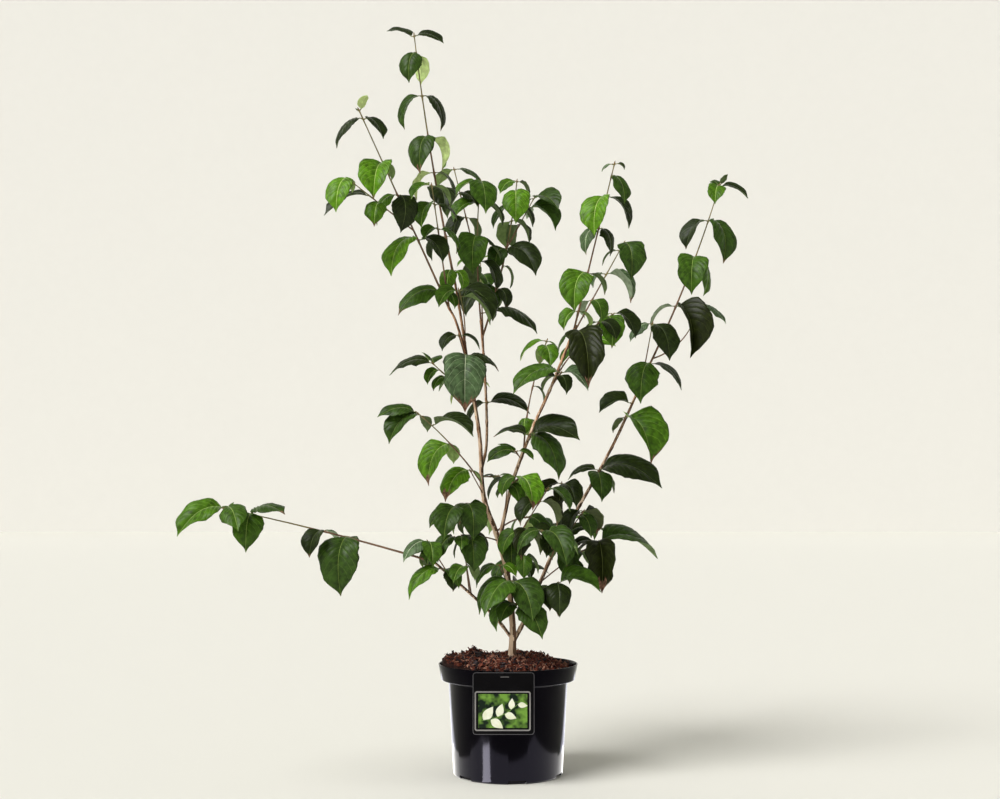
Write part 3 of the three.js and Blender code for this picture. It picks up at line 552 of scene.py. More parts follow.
rowStations, rowKinds = bladeRows()
halfColumns = np.array(blade["columns"])
signs = np.concatenate([-halfColumns[::-1], [0, 0, 0], halfColumns])  # the middle three are the midrib
gridStations = sweepTo(rowStations, signs)
gridWidths = np.interp(gridStations, *np.array(blade["outline"]).T)
rowCount, columnCount = gridStations.shape
middle = columnCount // 2


def bladeFaces():
    # both sheets share the margin, the base and the tip; kinds: 0 blade, 1 vein, 2 midrib, + 3 underneath
    numbers = {}

    def number(sheet, i, j):
        if i in (0, rowCount - 1):
            key = (0, i, 0)
        else:
            key = (0 if j in (0, columnCount - 1) else sheet, i, j)
        return numbers.setdefault(key, len(numbers))
    faces, kinds, spots = [], [], []
    for sheet in (0, 1):
        for i in range(rowCount - 1):
            for j in range(columnCount - 1):
                corners = [number(sheet, *c) for c in ((i, j), (i, j + 1), (i + 1, j + 1), (i + 1, j))]
                kind = 2 if j in (middle - 1, middle) else (1 if rowKinds[i] == "vein" else 0)
                for three in ((0, 1, 2), (0, 2, 3)) if j < middle else ((1, 2, 3), (1, 3, 0)):
                    face = [corners[n] for n in (three if sheet else three[::-1])]
                    if len(set(face)) == 3:
                        faces.append(face)
                        kinds.append(kind + 3 * sheet)
                        spots.append((gridStations[i:i + 2, j:j + 2].mean(), abs(signs[j:j + 2].mean())))
    return np.array(list(numbers)), np.array(faces, dtype=np.int32), np.array(kinds), np.array(spots)


bladeOrder, bladeTriangles, bladeKinds, bladeSpots = bladeFaces()
orderUnder, orderRows, orderColumns = bladeOrder.T
rowIsVein = np.array([any(abs(r - v) <= blade["veinWidth"] for v in blade["veins"]) for r in rowStations])


def bladePoints(leaf, random):
    # one leaf's points: midrib arch, outline, fold, droop, wavy margin and the puffed fields between veins
    length, change = leaf["length"], blade["old" if leaf["old"] else "other"]
    fine = np.linspace(0, 1, blade["ribSteps"] + 1)
    twist, curl = spread(random, blade["twist"]), mix(*blade["droopRange"], random())
    frames = np.array([bladeFrame(leaf, s, twist * s * s) for s in fine])
    stations = np.clip(gridStations[orderRows, orderColumns], 0, 1)
    spine, across, up = (np.stack([np.interp(stations, fine, line[:, k]) for k in range(3)], 1)
        for line in (np.array(midrib(leaf, fine)), frames[:, 1], frames[:, 2]))
    share = signs[orderColumns]
    side, out, fromRib = np.sign(share), np.abs(share), orderColumns - middle
    half = gridWidths[orderRows, orderColumns] * length * leafForm["width"] / 2
    lean = 1 + blade["uneven"] * spread(random, 1) * side
    coarse, small = (blade["nick"] * mix(*blade["nickSize"], random())
        * np.sin(2 * math.pi * (turns * stations + random()) + side * turns)
        for turns in [mix(*ends, random()) for ends in blade["nickTurns"]])
    half = half * (1 + (coarse + blade["fineNick"] * small) * change["nick"]) * change["width"]
    rib = np.minimum(blade["ribWidth"] * (1 - blade["ribTaper"] * stations), half * blade["ribMost"])
    x = np.where(np.abs(fromRib) == 1, fromRib * rib, half * share * lean)
    reach = np.abs(x) / length
    fold = blade["fold"] * mix(*blade["foldRange"], random()) * change["fold"]
    droop = blade["droop"] * curl * change["droop"]
    z = length * (fold * reach - droop * blade["droopCurve"] * reach ** 2)
    phase, waves = random() * 2 * math.pi, mix(*blade["waveTurns"], random())
    worn = mix(*blade["waveRange"], random() ** 2) * change["wave"]
    wave = blade["wave"] * worn * length * out ** 2 * np.sin(math.pi * stations)
    swing = 2 * math.pi * waves * stations + phase + side * blade["waveLag"]
    z = z + wave * np.sin(swing) * blade["waveHeight"]
    puff = np.where(rowIsVein[orderRows], -0.5, 0.5) * blade["puff"] * length
    puff = puff * np.sin(math.pi * out) ** blade["puffCurve"]
    z = z + np.where(rowStations[orderRows] > blade["tipRows"][0], 0, puff)
    ridge = np.where(fromRib == 0, blade["ribHeight"], 0) * (1 - blade["ribDrop"] * stations)
    z = z - ridge * blade["ribSink"] - orderUnder * (blade["thickness"] + ridge)
    return spine + across * x[:, None] + up * z[:, None]


# Leaf colours: plain greens, each leaf takes one set

leafLooks = dict(
    dark=dict(top="#232e11", vein="#35421e", rib="#5c6a40", under="#5f7048"),
    deep=dict(top="#304617", vein="#486029", rib="#748742", under="#728852"),
    mid=dict(top="#3b5818", vein="#58772e", rib="#8ea556", under="#88a060"),
    fresh=dict(top="#446715", vein="#6a8e32", rib="#a8c26c", under="#a8be78"),
    bright=dict(top="#527b19", vein="#84aa40", rib="#c0d680", under="#c2d68e"),
    grey=dict(top="#4a5e3e", vein="#7c906a", rib="#c6d0b0", under="#98a88c"),
    old=dict(top="#20260c", vein="#343b19", rib="#5a6336", under="#5a6440"),
)
leafSets = list(leafLooks)
# how many leaves in ten take each set on young, half-grown and old wood, and the least youth of each
leafShares = dict(
    young=(1.2, 2.4, 2.8, 2.2, 1.4, 0.0, 0.0),
    half=(2.0, 3.0, 2.7, 1.5, 0.5, 0.3, 0.1),
    old=(3.6, 3.2, 1.6, 0.6, 0.1, 0.9, 0.6),
)
youthFrom = dict(young=0.45, half=0.12, old=-1)
# how far the two shades of each part lie apart, as a share of its colour
shadeWidths = dict(top=0.25, vein=0.08, rib=0.08, under=0.12)


def shades(code, amount):
    # two close shades of one colour, for the noise to run between
    values = [int(code[i:i + 2], 16) for i in (1, 3, 5)]
    return ["#" + "".join("%02x" % min(255, round(v * (1 + change))) for v in values)
        for change in (-amount, amount)]


# live leaf: a waxed cuticle over green tissue gives a satin top, the underside is matt and paler, partly its
# own paler green and partly painted light standing in for light shining through the blade
# roughness and relief
leafFinish = dict(top=(0.34, 0.25), vein=(0.34, 0.15), rib=(0.34, 0.15), under=(0.68, 0.15))
leafMaterials = [
    newMaterial(f"leaf_{name}_{part}", shades(code, shadeWidths[part]), grain=9,
        roughness=leafFinish[part][0], specular=0.15, bump=leafFinish[part][1], bumpGrain=2.2)
    for name, look in leafLooks.items() for part, code in look.items()]
scorchIndex, stalkIndex = len(leafMaterials), len(leafMaterials) + 1
leafMaterials += [
    newMaterial("leaf_scorched_edge", ("#402d22", "#98745e"), grain=4, roughness=0.8, specular=0.2, bump=0.3),
    newMaterial("leaf_stalk", ("#56643a", "#8a8a58"), grain=6, roughness=0.55, specular=0.35),
]

toneLetters = "demfbgo"  # one for each set above
# where along the leaf the brown begins, for a marked leaf and for one that is browned by chance
scorch = dict(
    marked=(0.88, 0.76), chance=(1, 0.87), odds=0.5, youngest=0.3, ragged=0.05, teeth=(4, 9), edge=0.85)
# the stalk that joins the blade to its node
stalkForm = dict(width=0.55, growth=0.004, foot=1.25, tip=0.6, into=3, arch=0.6, archAt=0.6, sides=6)


def pickSet(youth, random):
    group = next(name for name, start in youthFrom.items() if youth > start)
    target = random() * sum(leafShares[group])
    for number, share in enumerate(leafShares[group]):
        target -= share
        if target <= 0:
            return number
    return 0


def addLeaf(batch, leaf, random, tone):
    # tone is a letter for the set, a capital when the tip is brown, or empty
    leafSet = toneLetters.index(tone.lower()) if tone else pickSet(leaf["youth"], random)
    leaf["old"] = leafSets[leafSet] == "old"
    points = bladePoints(leaf, random)
    kinds = np.array([0, 1, 2, 3, 3, 3])[bladeKinds] + 4 * leafSet
    browned = tone.isupper() or (leaf["youth"] < scorch["youngest"] and random() < scorch["odds"])
    brownFrom = mix(*scorch["marked" if tone.isupper() else "chance"], random()) if browned else 2
    along, out = bladeSpots.T
    edge = along + scorch["ragged"] * np.sin(out * mix(*scorch["teeth"], random()) + 6 * random())
    edge = edge + scorch["ragged"] * out * (out > scorch["edge"])
    batch.add(points, bladeTriangles, np.where(edge > brownFrom, scorchIndex, kinds))
    start, end = leaf["node"], stalkEnd(leaf)
    width = stalkForm["width"] + stalkForm["growth"] * leaf["length"]
    arched = start.lerp(end, stalkForm["archAt"]) + Vector((0, 0, stalkForm["arch"]))
    into = end + heading(leaf["azimuth"], leaf["rise"]) * stalkForm["into"]
    batch.add(*tube([start, arched, end, into],
        [width * stalkForm["foot"], width, width, width * stalkForm["tip"]], stalkForm["sides"]), stalkIndex)


# Grow the masses

def limbRadius(limb, share):
    return mix(*limb["radius"], share) + limb.get("flare", 0) * math.exp(-share / limbForm["flareShare"])


def limbObstacle(name):
    steps = limbForm["steps"]
    points, _ = evenly(lambda t: limbPoint(name, t), steps)
    radii = [limbRadius(limbs[name], i / steps) + limbForm["clearance"] for i in range(steps + 1)]
    return Obstacle(*tube(points, radii, limbForm["sides"]))


def stemOf(shoot, curve):
    length = (curve(1) - curve(0)).length
    root = stemForm["tipRadius"] + length * stemForm["taper"]
    return dict(shoot=shoot, curve=curve, length=length, root=root)


def stemObstacle(stem):
    shares = [i / stemForm["steps"] for i in range(stemForm["steps"] + 1)]
    return Obstacle(*tube([stem["curve"](s) for s in shares],
        [mix(stem["root"], stemForm["tipRadius"], s) for s in shares], stemForm["sides"]))


sleeves = [limbObstacle(name) for name in limbs]
stemSets = {}
for name, shoots in masses.items():
    first = shootCurve(shoots[0])
    stemSets[name] = [stemOf(shoots[0], first)]
    stemSets[name] += [stemOf(shoot, shootCurve(shoot, first)) for shoot in shoots[1:]]
taken = [stemObstacle(stem) for stems in stemSets.values() for stem in stems]
grown = []


def growMass(stems, batch, random, dealing):
    # leaves for each stem, in the room that limbs, stems and earlier leaves have left
    obstacles = sleeves + taken
    for stem in stems:
        leaves = leavesOf(stem, random, obstacles)
        for leaf in leaves:
            addLeaf(batch, leaf, dealing, stem["shoot"]["tones"][leaf["number"]:][:1])
        grown.append((stem, leaves))
    taken[:] = obstacles[len(sleeves):]


seeds = dict(leaves=1, shades=1000, fineLeaves=2000, fineShades=3000)
bandFrom = dict(upper=860, middle=560, lower=0)  # the height of a mass's tip above which it goes with a band
leafBatches = {band: Batch() for band in bandFrom}
bandOf = {}
for index, (name, stems) in enumerate(stemSets.items()):
    bandOf[name] = next(band for band, start in bandFrom.items() if stems[0]["curve"](1).z > start)
    growMass(stems, leafBatches[bandOf[name]], randomFrom(seeds["leaves"] + index),
        randomFrom(seeds["shades"] + index))

# finer shoots inside the masses, too small for the solids: each grows within the reach of the mass named
fineShoots = (
    ("fork_broad", shoot("trunk", 0.96, (-84, -14, 752), (1, 200, 46, 44, 10), tones="dd", age=60)),
    ("crown_left", shoot("left_leader", 0.9, (-128, -62, 996), (2, 200, 56, 46, -10), (30, 235, 60, 0, -8),
        (1, 350, 50, 0), (40, 20, 46, 40), tones="femdmm", age=20)),
    ("low_left_upright", shoot("low_left_bough", 0.6, (-78, -60, 408), (1, 215, 52, 40), (8, 300, 46, 0),
        tones="med", age=60)),
    ("low_left_front", shoot("low_left_bough", 0.62, (-70, -75, 358), (1, 240, 50, 36), (6, 150, 40, 0),
        tones="mem", age=60)),
    ("front_whorl", shoot("trunk", 0.28, (-14, -50, 359), (1, 205, 56, 40, 6), tones="mf", age=60)),
    ("front_whorl", shoot("trunk", 0.32, (27, -40, 376), (1, 268, 46, 0, -14), (6, 20, 40, 0),
        tones="me", age=60)),
    ("inner_right", shoot("far_right_stem", 0.55, (94, 20, 500), (1, 200, 56, 0), (1, 300, 60, 0, -6),
        (14, 250, 52, 40), tones="Odod", age=60)),
    ("right_low_hanging", shoot("right_stem", 0.2, (0, -30, 508), (1, 268, 60, 0, -10), (1, 190, 50, 0, 4),
        (12, 320, 46, 30), tones="odmd", age=60)),
    ("inner_right", shoot("far_right_stem", 0.3, (89, -24, 409), (1, 225, 60, 52), (10, 290, 56, 40, -6),
        tones="dOed", age=60)),
    ("low_right_back", shoot("far_right_stem", 0.46, (132, 30, 452), (1, 215, 60, 56, -4), (10, 310, 50, 40),
        tones="dOed", age=60)),
)
for index, (home, twig) in enumerate(fineShoots):
    growMass([stemOf(twig, shootCurve(twig))], leafBatches[bandOf[home]],
        randomFrom(seeds["fineLeaves"] + index), randomFrom(seeds["fineShades"] + index))
print("leaves:", sum(len(leaves) for _, leaves in grown))

# Twigs: green-brown first-year shoots, swollen where a pair of leaves sits, with small pointed buds

# first-year shoot: thin smooth skin, faintly glossy, green towards the tips of young shoots and brown on the
# older wood
twigMaterials = [
    newMaterial("twig_young_skin", ("#5f5a35", "#8a7a4c"), grain=22, roughness=0.5, specular=0.4),
    newMaterial("twig_brown_skin", ("#5a4334", "#8b6a52"), grain=16, roughness=0.62, specular=0.3, bump=0.3,
        bumpGrain=2),
    newMaterial("bud_scales", ("#6b5236", "#9a8050"), grain=3, roughness=0.6, specular=0.3),
]
twigForm = dict(
    sides=8, step=7, leastSteps=8, swell=0.7, swellReach=4, tip=0.8, greenFrom=0.6, greenAge=50,
    budSides=5, tipBud=5.5, sideBud=4.5, budRise=50, budWidth=0.55,
    bud=((-0.1, 0.3), (0.25, 0.42), (0.6, 0.3), (1, 0.05)),  # stations along a bud and their radii
)
twigBatch = Batch()
for stem, leaves in grown:
    steps = max(twigForm["leastSteps"], math.ceil(stem["length"] / twigForm["step"]))
    path = [stem["curve"](i / steps) for i in range(steps + 1)]
    radii = []
    for i, point in enumerate(path):
        apart = [(point - leaf["node"]).length / twigForm["swellReach"] for leaf in leaves[::2]]
        swell = sum(twigForm["swell"] * math.exp(-share ** 2) for share in apart)
        radii.append(mix(stem["root"], stemForm["tipRadius"] * twigForm["tip"], i / steps)
            + min(swell, twigForm["swell"]))
    points, faces = tube(path, radii, twigForm["sides"])
    along = faces[:, 0] // twigForm["sides"] / steps
    green = (along > twigForm["greenFrom"]) & (stem["shoot"]["age"] < twigForm["greenAge"])
    twigBatch.add(points, faces, np.where(green, 0, 1))
    # a bud at the tip and one in each leaf's corner
    buds = [(path[-1], (path[-1] - path[-2]).normalized(), twigForm["tipBud"])]
    buds += [(leaf["node"], heading(leaf["azimuth"], twigForm["budRise"]), twigForm["sideBud"])
        for leaf in leaves]
    for place, way, size in buds:
        twigBatch.add(*tube([place + way * (size * s) for s, _ in twigForm["bud"]],
            [twigForm["budWidth"] * size * r for _, r in twigForm["bud"]], twigForm["budSides"]), 2)

for band, batch in leafBatches.items():
    batch.piece(f"leaves_{band}", leafMaterials, replaced=[name for name in bandOf if bandOf[name] == band])
twigBatch.piece("twigs", twigMaterials)
print("twigs and leaves made")

# Bark: smooth young bark with fine cracks along the stem, raised pores and rings at old leaf scars

barkForm = dict(
    sides=28, step=3.2, lengthSteps=4,
    ring=0.55, ringGap=62, ringAt=30, ringWidth=3,
    crack=0.28, crackTurns=2.2, crackRun=16, crackHeight=1.5, limbGap=7,
    pore=0.35, poreTurns=3, poreRun=5, poreStart=40, poreFrom=0.35, poreHeight=2, fullAt=3,
    youngFrom=640, change=240,
    # painted light and shade: faces turned towards this side, with noise patches mixed in, take the lit copy
    # from this share on, the rest the shaded copy
    paintedLightSide=(-0.85, -0.5, 0.15), patch=0.6, patchSize=(3, 3, 14), paintedLitFrom=0.36,
)
# young dogwood bark: thin cork over green, pinkish tan on the older wood, red-brown towards the shoots. Each
# wood comes as a lit copy and a shaded copy, painted light and painted shade
barkMaterials = [
    newMaterial(name, colours, grain=8, roughness=0.7, specular=0.25, bump=0.5, bumpGrain=2.2,
        contrast=(0.34, 0.62), stretch=(1, 1, 0.2))
    for name, colours in (
        ("bark_old_painted_lit", ("#ac8467", "#ffe2c8")), ("bark_old_painted_shade", ("#38261d", "#6e523e")),
        ("bark_young_painted_lit", ("#8a5f46", "#d6a683")), ("bark_young_painted_shade", ("#38241c", "#6a4836")))]
barkBatch = Batch()
for number, (name, limb) in enumerate(limbs.items()):
    _, length = evenly(lambda t: limbPoint(name, t), barkForm["lengthSteps"])
    steps = math.ceil(length / barkForm["step"])
    path, _ = evenly(lambda t: limbPoint(name, t), steps)
    radii = []
    for i in range(steps + 1):
        fromRing = (i / steps * length) % barkForm["ringGap"] - barkForm["ringAt"]
        ring = barkForm["ring"] * math.exp(-(fromRing / barkForm["ringWidth"]) ** 2)
        radii.append(limbRadius(limb, i / steps) + ring)

    def relief(k, angle):
        run = k * barkForm["step"]
        crack = noise.noise(Vector((*circlePoint(barkForm["crackTurns"], angle),
            run / barkForm["crackRun"] + barkForm["limbGap"] * number)))
        pore = noise.noise(Vector((*circlePoint(barkForm["poreTurns"], angle),
            run / barkForm["poreRun"] + barkForm["poreStart"])))
        rise = barkForm["crack"] * crack * barkForm["crackHeight"]
        rise += barkForm["pore"] * max(0, pore - barkForm["poreFrom"]) * barkForm["poreHeight"]
        return rise * min(1, radii[k] / barkForm["fullAt"])
    points, faces = tube(path, radii, barkForm["sides"], relief)
    if "on" not in limb:
        points[:barkForm["sides"], 2] = limb["points"][0][2]
    # faces are old or young wood by height, and take the lit copy or the shaded copy by the side they face:
    # painted light towards the key light, painted shade on the other side
    corners = points[faces]
    normals = np.cross(corners[:, 1] - corners[:, 0], corners[:, 2] - corners[:, 0])
    facing = normals @ barkForm["paintedLightSide"] / np.linalg.norm(normals, axis=1)
    patches = np.array([noise.noise(Vector(p)) for p in corners[:, 0] / barkForm["patchSize"]])
    young = corners[:, 0, 2] + barkForm["change"] * patches > barkForm["youngFrom"]
    barkBatch.add(points, faces, 2 * young + (facing + barkForm["patch"] * patches < barkForm["paintedLitFrom"]))
barkBatch.piece("bark", barkMaterials, slot="bark", replaced=list(limbs))
print("bark made")

# Pot: black polypropylene, injection moulded

pot = dict(
    height=190, rimRadius=120, bandHeight=27, bandFootRadius=115, shoulderRadius=102.5, shoulderDrop=3,
    baseRadius=94, baseChamfer=2, wall=2, floor=3, sides=144, edge=1.1, sharpFrom=35,
    drain=dict(count=6, width=30, height=6, depth=16, firstAngle=-81),
)


def rounded(profile, edge):
    # cuts each corner of a profile and bows it
    out = [profile[0]]
    for a, b, c in zip(profile, profile[1:], profile[2:]):
        a, b, c = Vector(a), Vector(b), Vector(c)
        cut = min(edge, 0.4 * (a - b).length, 0.4 * (c - b).length)
        start, end = b + (a - b).normalized() * cut, b + (c - b).normalized() * cut
        out += [tuple(bezier(start, b, end, t)) for t in (0, 0.33, 0.67, 1)]
    return out + [profile[-1]]


def lathe(profile, sides):
    # the profile's first and last points lie on the axis
    points = [(0, 0, profile[0][1])]
    for radius, height in profile[1:-1]:
        points += [(x, y, height) for x, y in circle(radius, sides)]
    points.append((0, 0, profile[-1][1]))
    faces = [(0, 1 + (i + 1) % sides, 1 + i) for i in range(sides)]
    rings = len(profile) - 2
    faces += [tuple(n + 1 for n in f) for f in ringFaces(rings, sides, closed=False)]
    last = 1 + (rings - 1) * sides
    faces += [(last + i, last + (i + 1) % sides, len(points) - 1) for i in range(sides)]
    return points, faces


def cutBoxes(piece, boxes):
    # cuts turned boxes out of a piece: (centre, size, turn about z in degrees)
    for centre, size, turn in boxes:
        bpy.ops.mesh.primitive_cube_add(
            size=1, location=Vector(centre) * mm, rotation=(0, 0, math.radians(turn)))
        cutter = bpy.context.object
        cutter.scale = Vector(size) * mm
        cut = piece.modifiers.new("cut", "BOOLEAN")
        cut.operation, cut.object, cut.solver = "DIFFERENCE", cutter, "EXACT"
        bpy.context.view_layer.update()
        mesh = bpy.data.meshes.new_from_object(piece.evaluated_get(bpy.context.evaluated_depsgraph_get()))
        piece.modifiers.clear()
        piece.data = mesh
        bpy.data.objects.remove(cutter)


# polypropylene in a polished mould: near-black, wet-looking gloss, soft edges
potMaterial = newMaterial("black_polypropylene", ("#020103", "#040306"), grain=60, roughness=0.12, ior=1.49,
    specular=0.066, tint="#d8d4f6", bump=0.03, bumpGrain=40)
wall, drain = pot["wall"], pot["drain"]
bandFoot = pot["height"] - pot["bandHeight"]
shoulder = bandFoot - pot["shoulderDrop"]
potShell = newPiece("pot_shell", *lathe(rounded([
    (0, 0), (pot["baseRadius"] - pot["baseChamfer"], 0), (pot["baseRadius"], pot["baseChamfer"]),
    (pot["shoulderRadius"], shoulder), (pot["bandFootRadius"], bandFoot), (pot["rimRadius"], pot["height"]),
    (pot["rimRadius"] - wall, pot["height"]), (pot["bandFootRadius"] - wall, bandFoot + wall),
    (pot["shoulderRadius"] - wall, shoulder + wall), (pot["baseRadius"] - wall, pot["floor"]),
    (0, pot["floor"]),
], pot["edge"]), pot["sides"]), [potMaterial], 0, slot="pot", replaced=["pot"])
drainTurns = [drain["firstAngle"] + 360 * i / drain["count"] for i in range(drain["count"])]
cutBoxes(potShell, [((*circlePoint(pot["baseRadius"], math.radians(turn)), 0),
    (drain["depth"], drain["width"], 2 * drain["height"]), turn) for turn in drainTurns])
for face in potShell.data.polygons:
    face.use_smooth = True
potShell.data.set_sharp_from_angle(angle=math.radians(pot["sharpFrom"]))
print("pot made")

# Compost: composted bark, a rough mound with loose chips and fibres on it

compost = dict(
    footHeight=200, edgeHeight=186, edgeFall=7, rimReach=1.5, sides=120, rings=46, slack=0.5, clearance=0.3,
    # mounds: place across and back, height and width
    lumps=((-58, 12, 17, 15), (52, 30, 9, 20), (-95, -12, 10, 22), (20, 62, 8, 24), (-25, -60, 5, 26)),
    clods=5.5, clodSize=13, clodSeed=3, crumbs=1.8, crumbSize=4.6, crumbSeed=9, sink=1.2, seed=77,
)
inner = wall + 2 * compost["clearance"]
compostReach = pot["bandFootRadius"] - inner + compost["rimReach"]


def compostHeight(x, y):
    share = math.hypot(x, y) / compostReach
    dome = compost["footHeight"] - (compost["footHeight"] - compost["edgeHeight"]) * share ** 2
    rise = sum(height * math.exp(-((x - lumpX) ** 2 + (y - lumpY) ** 2) / width ** 2)
        for lumpX, lumpY, height, width in compost["lumps"])
    return dome + rise - compost["edgeFall"] * share * x / compostReach


def crumbled(x, y):
    clod, crumb = (
        compost[part + "s"] * noise.noise(Vector((x, y, compost[part + "Seed"])) / compost[part + "Size"])
        for part in ("clod", "crumb"))
    return compostHeight(x, y) + clod + crumb - compost["sink"]


# composted pine bark and coir: damp, dark red-brown, no gloss but on wet chips
compostMaterials = [
    newMaterial("bark_compost", ("#150c0b", "#35201b"), grain=5, roughness=0.92, specular=0.15, bump=1.2,
        bumpGrain=2),
    newMaterial("bark_chip_dark", ("#160f12", "#301f24"), grain=4, roughness=0.6, specular=0.3, bump=0.4),
    newMaterial("bark_chip_red", ("#472219", "#7e4333"), grain=4, roughness=0.8, specular=0.2, bump=0.4),
    newMaterial("bark_chip_pale", ("#86584a", "#c4957e"), grain=4, roughness=0.85, specular=0.15, bump=0.3),
    # painted shade: near-black for the bed's lowest faces, which show through the drain notches
    newMaterial("compost_painted_shade", ("#040303", "#0a0706"), grain=5, roughness=0.8, specular=0.05),
]
rings, sides = compost["rings"], compost["sides"]
bedPoints = [(x, y, height) for radius, height in (
    (pot["baseRadius"], pot["floor"] + compost["clearance"]), (pot["shoulderRadius"], shoulder + wall + 1),
    (pot["bandFootRadius"], bandFoot + wall + compost["rimReach"]),
) for x, y in circle(radius - inner - compost["slack"], sides)]
for k in range(rings):
    bedPoints += [(x, y, crumbled(x, y)) for x, y in circle(compostReach * (1 - k / rings), sides)]
bedFaces = ringFaces(len(bedPoints) // sides, sides)
# the bed's lowest faces, seen through the drain notches, are painted near-black shade
paintedShadeFaces = np.array(bedPoints)[bedFaces][:, :, 2].min(1) < drain["height"]
newPiece("compost_bed", bedPoints, bedFaces, [compostMaterials[0], compostMaterials[4]], paintedShadeFaces,
    slot="compost", replaced=["compost"])

chip = dict(
    count=2700, edge=4, margin=1, trunkX=8, trunkRoom=10,
    long=(3.5, 21), longCurve=2.4, wide=(0.14, 0.42), thick=(0.8, 2.6),
    tip=0.95, roll=0.8, sunk=0.4, lift=1.2, taper=0.35, darkTo=0.48, redTo=0.91,
)
chipFaces = ringFaces(2, 4)
chipBatch = Batch()
random = randomFrom(compost["seed"])
for n in range(chip["count"]):
    x, y = scatter(random, compostReach - chip["edge"])
    if math.hypot(x - chip["trunkX"], y) < chip["trunkRoom"]:
        continue
    long = mix(*chip["long"], random() ** chip["longCurve"])
    wide, thick = long * mix(*chip["wide"], random()), mix(*chip["thick"], random())
    turn = (Quaternion((0, 0, 1), 2 * math.pi * random())
        @ Quaternion((0, 1, 0), spread(random, chip["tip"]))
        @ Quaternion((1, 0, 0), spread(random, chip["roll"])))
    centre = Vector((x, y, crumbled(x, y) + thick * chip["sunk"] + chip["lift"] * random()))
    corners = []
    for w in (-1, 1):
        for u, v in ((-1, -1), (1, -1), (1, 1), (-1, 1)):
            taper = 1 - chip["taper"] * random()
            corner = turn @ Vector((u * long / 2 * taper, v * wide / 2 * taper, w * thick / 2)) + centre
            inside = min(1, (compostReach - chip["margin"]) / math.hypot(corner.x, corner.y))
            corners.append((corner.x * inside, corner.y * inside, corner.z))
    pick = random()
    chipBatch.add(corners, chipFaces, 1 if pick < chip["darkTo"] else (2 if pick < chip["redTo"] else 3))
chipBatch.piece("bark_chips", compostMaterials[:4], smooth=False, slot="compost")

fibre = dict(
    count=950, edge=8, margin=1.5, bend=0.35, lift=(0.5, 8), liftCurve=2.5, steps=5, step=3.1, above=0.6,
    radius=(0.35, 0.6), sides=4, paleShare=0.4,
)
fibreBatch = Batch()
for n in range(fibre["count"]):
    x, y = scatter(random, compostReach - fibre["edge"])
    way, bend = 2 * math.pi * random(), spread(random, fibre["bend"])
    path, lift = [], mix(*fibre["lift"], random() ** fibre["liftCurve"])
    for k in range(fibre["steps"] + 1):
        if math.hypot(x, y) > compostReach - fibre["margin"]:
            break
        path.append((x, y, crumbled(x, y) + fibre["above"] + lift * math.sin(math.pi * k / fibre["steps"])))
        x, y, way = x + fibre["step"] * math.cos(way), y + fibre["step"] * math.sin(way), way + bend
    if len(path) > 2:
        points, faces = tube(path, [mix(*fibre["radius"], random())] * len(path), fibre["sides"])
        fibreBatch.add(points, faces, 3 if random() < fibre["paleShare"] else 2)
fibreBatch.piece("bark_fibres", compostMaterials[:4], slot="compost")
print("compost made")

# Label: a printed card with a tongue over the rim, and a plain sprig for its picture

label = dict(
    width=100, height=101, thickness=0.9, corner=5, left=-58, bottom=87.5, border=0.9,
    ink=0.1, lineRise=0.12,  # how deep the print reaches into the card, and how far a line stands out from it
    frame=(3, 94, 6, 70.5), frameCorner=4, frameLine=2.2,  # left, right, bottom and top on the card
    picture=(9, 88.5, 11, 66), pictureCorner=0.6,
    tongue=dict(x=-6, width=4, reach=7, wall=0.9, top=2, setback=2.2, root=3),
    slot=dict(width=14, drop=7, line=0.7),
    # a bowed sprig with pale pointed leaves to either side in turn
    sprig=dict(ends=((14, 23), (50, 25), (80, 56)), leaves=6, length=27, width=7.6, shrink=0.08, open=50,
        full=0.8, first=0.3, rise=0.2, overlap=0.02, stem=1.3, stemRise=0.3, steps=10),
)
# coated card: black print under a satin varnish
labelMaterials = [
    newMaterial("card_black_print", ("#050406", "#08070a"), grain=30, roughness=0.45, specular=0.06),
    newMaterial("card_cut_edge", ("#3d3c40", "#4a494d"), grain=10, roughness=0.6),
    newMaterial("card_grey_line", ("#7c7a7a", "#8c8a88"), grain=10, roughness=0.45),
    newMaterial("card_green_print", ("#0a1d10", "#6f9a3c"), grain=17, roughness=0.45, specular=0.15,
        contrast=(0.42, 0.62), detail=2),
    newMaterial("card_cream_print", ("#dfe4c4", "#f3f4e6"), grain=9, roughness=0.45, specular=0.15),
    newMaterial("card_leaf_print", ("#24492a", "#7fa64a"), grain=6, roughness=0.45, specular=0.15),
]
black, cutEdge, greyLine, greenPrint, creamPrint, leafPrint = range(len(labelMaterials))
cardBatch = Batch()
x0, z0 = label["left"], label["bottom"]
front = -pot["rimRadius"] - compost["clearance"]
face = front - label["thickness"]
cardTop = z0 + label["height"]
tongue, slot, sprig = label["tongue"], label["slot"], label["sprig"]


def cardShape(edges, corner, inset=0, steps=6):
    # a rounded rectangle from its left, right, bottom and top
    corner, points = corner - inset, []
    left, right, low, high = (
        edge + side * inset + side * corner for edge, side in zip(edges, (1, -1, 1, -1)))
    for x, z, first in ((right, low, -90), (right, high, 0), (left, high, 90), (left, low, 180)):
        turns = [circlePoint(corner, math.radians(first + 90 / steps * k)) for k in range(steps + 1)]
        points += [(x + u, z + v) for u, v in turns]
    return points


def onCard(left, right, low, high):
    return x0 + left, x0 + right, z0 + low, z0 + high


def slab(outline, y0, y1, kind):
    # a flat shape stood up in the x-z plane between two depths, y0 the front
    points = [(x, y, z) for y in (y0, y1) for x, z in outline]
    cardBatch.add(points, ringFaces(2, len(outline)), kind)


